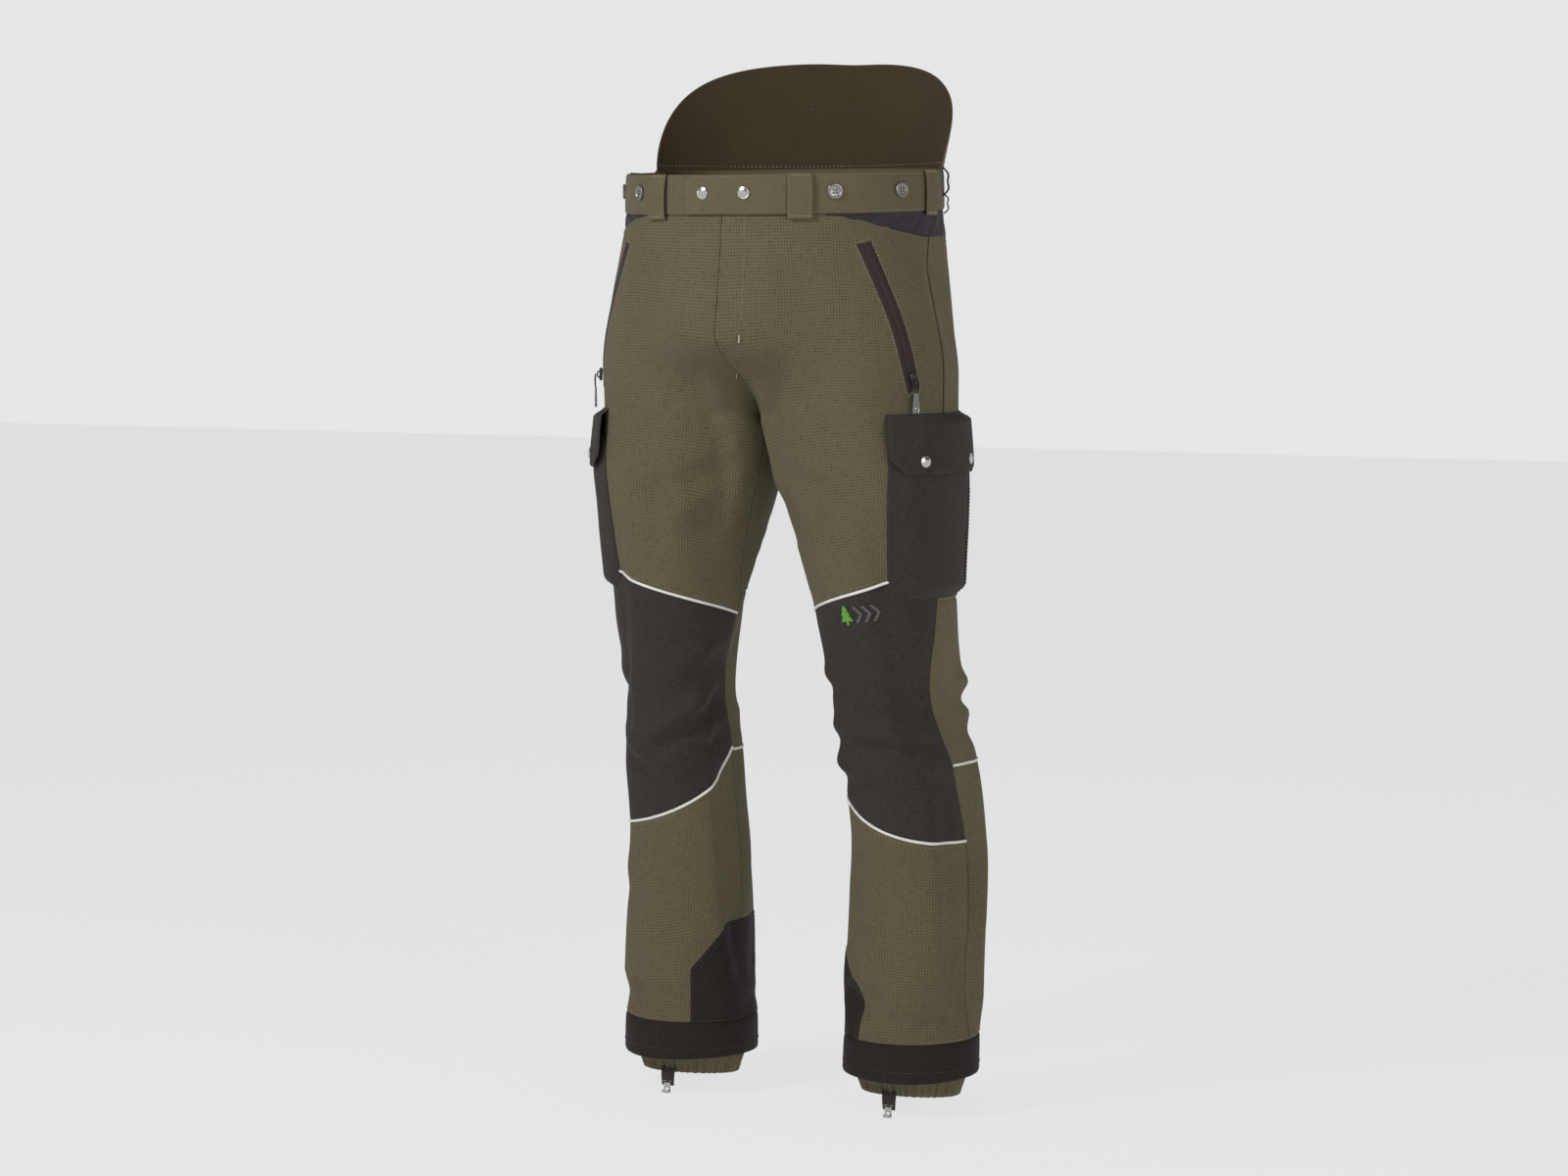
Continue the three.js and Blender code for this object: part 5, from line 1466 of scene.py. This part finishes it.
def step_in(thickness, rise):
    """Insets the selected faces and lifts them, both in mm."""
    bpy.ops.mesh.inset(thickness=thickness * MM, depth=0)
    bpy.ops.transform.translate(value=(0, 0, rise * MM))


def finish_piece(piece, bevel=0.0, segments=2, limit=35):
    only(piece)
    if bevel:
        made = piece.modifiers.new("edges", "BEVEL")
        made.width, made.segments, made.limit_method = bevel * MM, segments, "ANGLE"
        made.angle_limit = math.radians(limit)
        bpy.ops.object.modifier_apply(modifier="edges")
    bpy.ops.object.transform_apply(location=True, rotation=True, scale=True)
    bpy.ops.object.shade_smooth_by_angle(angle=math.radians(40))
    return piece


def disc(name, material, radius, depth, vertices=40):
    """A round blank standing on z = 0."""
    bpy.ops.mesh.primitive_cylinder_add(vertices=vertices, radius=radius * MM, depth=depth * MM,
                                        location=(0, 0, depth / 2 * MM))
    piece = start_object(name, material)
    only(piece)
    bpy.ops.object.transform_apply(location=True, rotation=True, scale=True)
    return piece


def block(name, material, size, middle):
    bpy.ops.mesh.primitive_cube_add(size=1, location=tuple(c * MM for c in middle))
    piece = start_object(name, material)
    piece.scale = tuple(c * MM for c in size)
    only(piece)
    bpy.ops.object.transform_apply(location=True, rotation=True, scale=True)
    return piece


def cut(piece, tool):
    only(piece)
    made = piece.modifiers.new("cut", "BOOLEAN")
    made.operation, made.object, made.solver = "DIFFERENCE", tool, "EXACT"
    bpy.ops.object.modifier_apply(modifier="cut")
    bpy.data.objects.remove(tool)


def top_face(centre, normal):
    return normal.z > 0.9


def snap_cap(name, radius):
    """A domed press stud cap with a fine step round its rim."""
    piece = disc(name, NICKEL, radius, 1.3)
    pick(piece, top_face)
    step_in(0.7, 0.25)
    step_in(0.35, -0.1)
    step_in(1.2, 0.55)
    step_in(1.8, 0.35)
    step_in(1.6, 0.12)
    return finish_piece(piece, 0.2, 3)


def brace_button():
    """A four-hole dished button, sewn on with a cross of dark thread."""
    piece = disc("brace_button_master", OLD_NICKEL, 8.6, 2.4, 48)
    pick(piece, top_face)
    step_in(0.8, 0.5)
    step_in(1.2, 0.0)
    step_in(0.8, -1.0)
    finish_piece(piece, 0.25, 3)
    for x in (-1.8, 1.8):
        for y in (-1.8, 1.8):
            bpy.ops.mesh.primitive_cylinder_add(vertices=16, radius=1.05 * MM, depth=8 * MM,
                                                location=(x * MM, y * MM, 1 * MM))
            cut(piece, bpy.context.object)
    only(piece)
    bpy.ops.object.shade_smooth_by_angle(angle=math.radians(40))
    return piece


def zip_slider():
    """A waisted slider body on the tape, with its bail over the middle. +Y points up the zip."""
    piece = block("zip_slider_master", ENAMEL, (8.6, 13.6, 3.2), (0, 0, 1.8))
    pick(piece, lambda centre, normal: normal.y < -0.9)
    bpy.ops.transform.resize(value=(0.62, 1, 1))
    pick(piece, top_face)
    step_in(1.2, 0.35)
    finish_piece(piece, 0.6, 3)
    return piece


def slider_bail():
    bpy.ops.mesh.primitive_torus_add(major_segments=28, minor_segments=10, major_radius=2.6 * MM,
                                     minor_radius=0.75 * MM, location=(0, 0, 3.6 * MM),
                                     rotation=(0, math.pi / 2, 0))
    piece = start_object("slider_bail_master", ENAMEL)
    piece.scale = (1, 1.35, 0.9)
    return finish_piece(piece)


def rubber_pull():
    """A tapered moulded puller with an eyelet near its wide end; it hangs along -Z from the cord."""
    piece = block("rubber_pull_master", RUBBER, (9.6, 3.0, 23), (0, 0, -26.5))
    pick(piece, lambda centre, normal: normal.z > 0.9)
    bpy.ops.transform.resize(value=(0.5, 0.8, 1))
    pick(piece, lambda centre, normal: abs(normal.y) > 0.8)
    bpy.ops.mesh.inset(thickness=1.2 * MM, depth=-0.35 * MM)
    finish_piece(piece, 0.9, 4, 50)
    bpy.ops.mesh.primitive_cylinder_add(vertices=20, radius=1.5 * MM, depth=9 * MM,
                                        location=(0, 0, -33.5 * MM),
                                        rotation=(math.pi / 2, 0, 0))
    cut(piece, bpy.context.object)
    only(piece)
    bpy.ops.object.shade_smooth_by_angle(angle=math.radians(40))
    return piece


def pull_eyelet():
    bpy.ops.mesh.primitive_torus_add(major_segments=24, minor_segments=8, major_radius=1.9 * MM,
                                     minor_radius=0.5 * MM, location=(0, -1.5 * MM, -33.5 * MM),
                                     rotation=(math.pi / 2, 0, 0))
    return finish_piece(start_object("pull_eyelet_master", NICKEL))


def lace_hook():
    """A flat steel hook: a plate sewn into the tab, a drop, and a lip turned up in front."""
    piece = block("lace_hook_master", ZINC, (8.8, 1.1, 6.0), (0, -0.6, -3.0))
    for wanted, move in ((lambda c, n: n.z < -0.9, (0, 0, -4.4)), (lambda c, n: n.z < -0.9, (0, 0, -1.2)),
                         (lambda c, n: n.y < -0.9 and c[2] < -10.2, (0, -3.6, 0)),
                         (lambda c, n: n.y < -0.9 and c[1] < -3, (0, -1.0, 0)),
                         (lambda c, n: n.z > 0.9 and c[1] < -4.4, (0, 0, 2.6))):
        pick(piece, wanted)
        bpy.ops.mesh.extrude_region_move(TRANSFORM_OT_translate={"value": tuple(c * MM for c in move)})
    finish_piece(piece, 0.3, 3)
    block("hook_slot", ZINC, (5.2, 9, 2.6), (0, -1, -7.4))
    cut(piece, bpy.context.object)
    only(piece)
    bpy.ops.object.shade_smooth_by_angle(angle=math.radians(40))
    return piece


def copy_to(master, name, place, body, node=None):
    """A copy of a finished piece with its own mesh, moved in the mesh to its place."""
    made = bpy.data.objects.new(name, master.data.copy())
    made.data.name = name
    made.data.transform(place)
    if place.determinant() < 0:
        made.data.flip_normals()
    bpy.context.scene.collection.objects.link(made)
    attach(made, body)
    if node:
        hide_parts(node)
    return made


def frame_matrix(point, right, up, out):
    """A place in mm with its own axes: +X right, +Y up, +Z out."""
    place = Matrix.Identity(4)
    for column, axis in enumerate((right, up, out)):
        for row in range(3):
            place[row][column] = axis[row]
    for row in range(3):
        place[row][3] = point[row] * MM
    return place


def facing(point, out, up=(0, 0, 1)):
    out = np.asarray(out, float) / np.linalg.norm(out)
    up = np.asarray(up, float) - out * (np.asarray(up, float) @ out)
    up /= np.linalg.norm(up)
    return frame_matrix(point, np.cross(up, out), up, out)


cap_master = snap_cap("snap_cap_master", 7.0)
for name, angle in SNAPS.items():
    point, out = waist_surface(float(angle), waist_top(angle) - 0.46 * BAND, tab_lift - 0.35)
    copy_to(cap_master, f"{name}_cap", facing(point, out), "waist_closure", name)
    stud, out = waist_surface(float(angle), waist_top(angle) - 0.46 * BAND, BAND_THICKNESS - 0.15)
    low_stud = facing(stud, out) @ Matrix.Diagonal((0.7, 0.7, 0.16, 1))
    copy_to(cap_master, f"{name}_stud", low_stud, "root")

flap_cap = snap_cap("flap_cap_master", 6.4)
for side, sign in SIDES.items():
    surface, lifted = flap_surface(side), flap_rise()
    for label, s in (("front", 0.245), ("rear", 0.775)):
        s, t = np.array([s]), np.array([0.79])
        points, out = surface(s, t)
        around = [surface(s + a, t + b)[0][0] + surface(s + a, t + b)[1][0] * float(lifted(s + a, t + b)[0])
                  for a, b in ((0.03, 0), (-0.03, 0), (0, 0.06), (0, -0.06))]
        normal = np.cross(around[0] - around[1], around[3] - around[2])
        normal *= math.copysign(1, normal @ out[0]) / np.linalg.norm(normal)
        middle = points[0] + out[0] * (float(lifted(s, t)[0]) + 1.75)
        copy_to(flap_cap, f"flap_snap_{label}_{side}", facing(middle, normal), f"pocket_flap_{side}")

button_master = brace_button()
for side, sign in SIDES.items():
    for label, angle in (("front", 40.5), ("side", 68)):
        point, out = waist_surface(float(angle * sign), waist_top(angle) - 0.45 * BAND, BAND_THICKNESS + 0.35)
        name = f"brace_button_{label}_{side}"
        copy_to(button_master, f"{name}_disc", facing(point, out), "root", name)
        place = facing(point, out)
        right, up = np.array(place.col[0][:3]), np.array(place.col[1][:3])
        for way in (right + up, right - up):
            line = np.array([point + out * 1.5 - way * 1.8, point + out * 1.5 + way * 1.8])
            for shift in (-0.35, 0.35):
                aside = np.cross(out, way) / np.linalg.norm(way) * shift
                stitch("root", "dark", line + aside, np.array([out, out]), pitch=9, length=5.6, width=0.8)

slider_master, bail_master = zip_slider(), slider_bail()
pull_master, eyelet_master, hook_master = rubber_pull(), pull_eyelet(), lace_hook()
JOINTS = {joint["name"]: joint for joint in frame["joints"]}
for side, sign in SIDES.items():
    mirror = Matrix.Diagonal((sign, 1, 1, 1))
    point, right, up, out = on_zip(0.06)
    place = mirror @ frame_matrix(point + out * 1.0, right, up, out)
    copy_to(slider_master, f"hip_zip_slider_body_{side}", place, f"zip_slider_{side}",
            f"hip_zip_slider_{side}")
    copy_to(bail_master, f"hip_zip_slider_bail_{side}", place, f"zip_slider_{side}")
    pivot = np.array(JOINTS[f"zip_pull_swing_{side}"]["pos_m"]) / MM * np.array([sign, 1, 1])
    level_out = out * np.array([1, 1, 0])
    hang = mirror @ Matrix.Translation(Vector(pivot * MM)) \
        @ Matrix.Rotation(math.atan2(level_out[0], -level_out[1]), 4, "Z")
    copy_to(pull_master, f"hip_zip_pull_rubber_{side}", hang, f"zip_pull_{side}", f"hip_zip_pull_{side}")
    copy_to(eyelet_master, f"hip_zip_pull_eyelet_{side}", hang, f"zip_pull_{side}")
    cord = np.array([(0.6, 0, 0.4), (2.1, -0.6, -3), (2.5, -0.8, -8), (1.2, -0.4, -14), (0.3, 0, -17),
                     (-0.3, 0, -17), (-1.2, -0.4, -14), (-2.5, -0.8, -8), (-2.1, -0.6, -3), (-0.6, 0, 0.4)])
    steps = np.linspace(0, len(cord) - 1, 46)
    path = np.stack([np.interp(steps, np.arange(len(cord)), cord[:, k]) for k in range(3)], -1)
    path[1:-1] = (path[:-2] + path[1:-1] * 2 + path[2:]) / 4
    loop = tube(f"zip_pull_cord_{side}", path, np.tile((0.0, -1.0, 0.0), (46, 1)), 0.75, WEBBING, 8)
    loop.data.transform(hang)
    fix_normals(loop)
    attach(loop, f"zip_pull_{side}")

# ---------------------------------------------------------------- lace tabs and hooks
for side, sign in SIDES.items():
    hinge = np.array(JOINTS[f"lace_tab_swing_{side}"]["pos_m"]) / MM * np.array([sign, 1, 1])

    def tab_sheet(s, t):
        x = (s - 0.5) * (18 - 2.5 * t)
        y = -0.3 - 1.0 * np.sin(np.pi * t) - 0.7 * t
        return (np.stack([hinge[0] + x, hinge[1] + y, hinge[2] - 0.4 - t * 20.6], -1),
                np.stack([0 * s, -1 + 0 * s, 0 * s], -1))

    mirror = np.array([sign, 1, 1])
    lace = sheet_piece(f"lace_tab_cloth_{side}", lambda s, t: tuple(v * mirror for v in tab_sheet(s, t)),
                       spread(10),
                       spread(12), -0.7, lambda s, t: 0.9 - rounded(s, t, 17, 21, 0.9, 0.5), CHARCOAL,
                       flip=sign < 0)
    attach(lace, f"lace_{side}")
    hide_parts(f"lace_tab_{side}")
    for x in (-3.6, 3.6):
        point = (np.array([hinge[0] + x, hinge[1] - 2.0, hinge[2] - 15.8])) * mirror
        bartack(f"lace_{side}", "pale", point, np.array([0, -1.0, 0]), (1, 0, 0.1), 5.2, 1.5)
    hook_place = Matrix.Translation(Vector((hinge * mirror + np.array([0, -2.6, -17.5])) * MM))
    copy_to(hook_master, f"lace_hook_steel_{side}", hook_place, f"lace_{side}", f"lace_hook_{side}")

for master in (cap_master, flap_cap, button_master, slider_master, bail_master, pull_master, eyelet_master,
               hook_master):
    bpy.data.objects.remove(master)

# ---------------------------------------------------------------- the badge on the left knee
BADGE_ANGLE, BADGE_Z = 5.5, KNEE + 104
FIR = [(0, 12), (3.4, 6.2), (1.9, 6.2), (5.6, 0.4), (3.2, 0.4), (7.6, -6.6), (1.3, -6.6), (1.3, -11),
       (-1.3, -11),
       (-1.3, -6.6), (-7.6, -6.6), (-3.2, 0.4), (-5.6, 0.4), (-1.9, 6.2), (-3.4, 6.2)]
CHEVRON = [(-3.4, -9.5), (0.4, -9.5), (7.2, 0), (0.4, 9.5), (-3.4, 9.5), (3.4, 0)]


def moulded(name, outline, x, z, height, material, tilt=0.12):
    """A flat rubber shape moulded onto the knee, curving with it."""
    outline = np.array(outline, float)
    turn = np.array([[math.cos(tilt), -math.sin(tilt)], [math.sin(tilt), math.cos(tilt)]])
    outline = outline @ turn.T + turn @ np.array([x, z])
    flat = bmesh.new()
    face = flat.faces.new([flat.verts.new((a, b, 0)) for a, b in outline])
    bmesh.ops.triangulate(flat, faces=[face])
    bmesh.ops.subdivide_edges(flat, edges=flat.edges[:], cuts=3, use_grid_fill=True)
    verts = np.array([v.co[:] for v in flat.verts])
    faces = [[v.index for v in f.verts] for f in flat.faces]
    rim = [[e.verts[0].index, e.verts[1].index] for e in flat.edges if e.is_boundary]
    flat.free()
    angle = BADGE_ANGLE + np.degrees(verts[:, 0] / 80)
    points, out = leg_cloth("left", angle, BADGE_Z + verts[:, 1])
    count = len(points)
    solid = np.concatenate([points + out * (FABRIC + 0.9 + height), points + out * (FABRIC + 0.3)])
    sides = [[a, b, b + count, a + count] for a, b in rim]
    made = put_mesh(name, solid, faces + [[i + count for i in f[::-1]] for f in faces] + sides, material,
                    smooth=False)
    fix_normals(made)
    on_leg(made)


moulded("badge_fir", FIR, -15.5, 0, 1.0, RUBBER_GREEN)
for number, x in enumerate((-2.5, 7.5, 17.5)):
    moulded(f"badge_chevron_{number}", CHEVRON, x, 0, 0.9, RUBBER_DARK)

# ---------------------------------------- inside: pads, linings, pocket bags and fly zip
PAD = {"from": -96, "to": 92, "top": CROTCH - 44, "bottom": HEM + 80, "outer": -5, "thickness": 6.5}
LINING_OUTER = -15.5


def leg_inside(side, from_angle, to_angle, high, low):
    def surface(s, t):
        angle = mix(from_angle, to_angle, s)
        z = mix(high, low, t)
        return leg_cloth(side, np.where(angle < inner_seam(z), angle + 360, angle), z)
    return surface


for side, sign in SIDES.items():
    flip = sign < 0

    def quilt(s, t):
        rows = np.abs(np.sin(np.pi * t * 12)) ** 0.5
        reach = np.minimum(np.minimum(s, 1 - s) * 240, np.minimum(t, 1 - t) * 620)
        return (0.35 + 0.65 * rows) * (1 - np.exp(-((reach / 7) ** 2)))

    pad = sheet_piece(
        f"cut_pad_quilted_{side}", leg_inside(side, PAD["from"], PAD["to"], PAD["top"], PAD["bottom"]),
        spread(44),
        spread(120), lambda s, t: PAD["outer"] - 3.3 - 3.1 * quilt(s, t),
        lambda s, t: PAD["outer"] - 3.2 + 3.0 * quilt(s, t), FIBRE, flip)
    on_leg(pad)
    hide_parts(f"cut_pad_{side}")

    angle = np.linspace(-85, 275, 73)
    z = np.linspace(PAD["top"] - 6, HEM + 30, 90)
    points, out = leg_cloth(side, angle[:, None], z[None, :])
    ripple = 0.8 * np.sin(np.radians(angle)[:, None] * 11 + z[None, :] / 38)
    inner_net = cloth_solid(f"mesh_lining_{side}", points + out * (LINING_OUTER + ripple)[..., None],
                            points + out * (LINING_OUTER + ripple - 0.8)[..., None], MESH, flip, ring=True)
    on_leg(inner_net)
    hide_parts(f"lining_{side}")

    bag_s, bag_t = np.meshgrid(spread(28), spread(36), indexing="ij")
    points, out = cloth_point(side, "front", mix(0.34, 0.93, bag_s),
                              mix(ZIP_ENDS[1][1] + 4, CROTCH + 8, bag_t),
                              np.zeros(bag_s.shape))
    belly = 0.7 * np.sin(bag_s * 9) * np.sin(bag_t * 7)
    bag = cloth_solid(f"hip_pocket_bag_cloth_{side}", points + out * (-6.0 + belly)[..., None],
                      points + out * (-8.0 + belly)[..., None], MESH, flip)
    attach(bag, "root")
    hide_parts(f"hip_pocket_bag_{side}")

FLY = {"high": -BAND - 14, "low": CROTCH + 107 + 1, "depth": 4.037}
fly_top, fly_low = (hip_point(np.float64(0), np.float64(FLY[end])) + np.array([0, FLY["depth"], 0])
                    for end in ("high", "low"))
fly_up = (fly_top - fly_low) / np.linalg.norm(fly_top - fly_low)
fly_out = np.cross([1.0, 0, 0], fly_up)


def fly_tape(s, t):
    point = mix(fly_top, fly_low, t[..., None])
    return point + np.array([1.0, 0, 0]) * ((s - 0.5) * 30)[..., None], np.broadcast_to(fly_out,
                                                                                        s.shape + (3,))


fly_zip = sheet_piece("fly_zip_cloth", fly_tape, spread(14), np.linspace(0, 1, 120),
                      lambda s, t: -0.45 - (0.9 + 0.25 * np.sin(t * 370)) * bump(s, 0.5, 0.06),
                      lambda s, t: 0.45 - 0.2 * bump(s, 0.5, 0.04) - rounded(s, t, 30, 118, 0.8, 0.3),
                      ZIP_TAPE)
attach(fly_zip, "root")
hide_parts("fly_zip_tape")
frame["nodes"]["fly_zip_slider"].data.materials[0] = NICKEL

# ---------------------------------------- stitches join the pieces they hold
for (group, thread), piece in make_stitches().items():
    if group.startswith("leg_"):
        on_leg(piece)
    elif group == "kidney":
        on_kidney(piece)
    elif group == "waist_tab":
        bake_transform(piece)
    else:
        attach(piece, group)


# ---------------------------------------------------------------- floor, light and camera
FLOOR_GLOW = 0.915
LAMPS = (  # name, place and size in metres, watts
    ("key_light", (-1.2, -2.3, 1.5), 0.8, 54),
    ("fill_light", (2.9, -1.9, 0.8), 1.4, 34),
    ("top_light", (0.2, 0.4, 3.2), 3.0, 14),
)
AIM, AZIMUTH, ELEVATION, DISTANCE = Vector((0, 0, -0.480)), math.radians(27), math.radians(5), 4.444


def make_stage():
    grey, _, shader = new_material("pale_floor", 1.0, colour="#5c5c5c")
    shader.inputs["Specular IOR Level"].default_value = 0.0
    shader.inputs["Emission Color"].default_value = linear("#e6e6e6")
    shader.inputs["Emission Strength"].default_value = FLOOR_GLOW
    mesh = bpy.data.meshes.new("floor")
    low, far = (HEM - 46) * MM, 14.0
    mesh.from_pydata([(-far, -far, low), (far, -far, low), (far, far, low), (-far, far, low)], [],
                     [(0, 1, 2, 3)])
    mesh.materials.append(grey)
    floor = bpy.data.objects.new("floor", mesh)
    bpy.context.scene.collection.objects.link(floor)

    world = bpy.data.worlds.new("studio")
    world.use_nodes = True
    sky = world.node_tree
    way = add_node(sky, "ShaderNodeTexCoord").outputs["Generated"]
    height = add_node(sky, "ShaderNodeSeparateXYZ", {"Vector": way}).outputs["Z"]
    shade = ramp(sky, height, [(0.12, linear("#e6e6e6")), (0.34, linear("#484848"))])
    sky.links.new(shade, sky.nodes["Background"].inputs["Color"])
    bpy.context.scene.world = world
    for name, place, size, power in LAMPS:
        lamp = bpy.data.lights.new(name, "AREA")
        lamp.size = size
        lamp.energy = power
        light = bpy.data.objects.new(name, lamp)
        light.location = place
        light.rotation_euler = (AIM - Vector(place)).to_track_quat("-Z", "Y").to_euler()
        bpy.context.scene.collection.objects.link(light)

    lens = bpy.data.cameras.new("camera")
    lens.lens, lens.sensor_width = 88, 36
    camera = bpy.data.objects.new("camera", lens)
    level_out = math.cos(ELEVATION) * DISTANCE
    camera.location = AIM + Vector((math.sin(AZIMUTH) * level_out, -math.cos(AZIMUTH) * level_out,
                                    math.sin(ELEVATION) * DISTANCE))
    camera.rotation_euler = (AIM - camera.location).to_track_quat("-Z", "Y").to_euler()
    bpy.context.scene.collection.objects.link(camera)
    bpy.context.scene.camera = camera
    bpy.context.scene.view_settings.view_transform = "Standard"


make_stage()
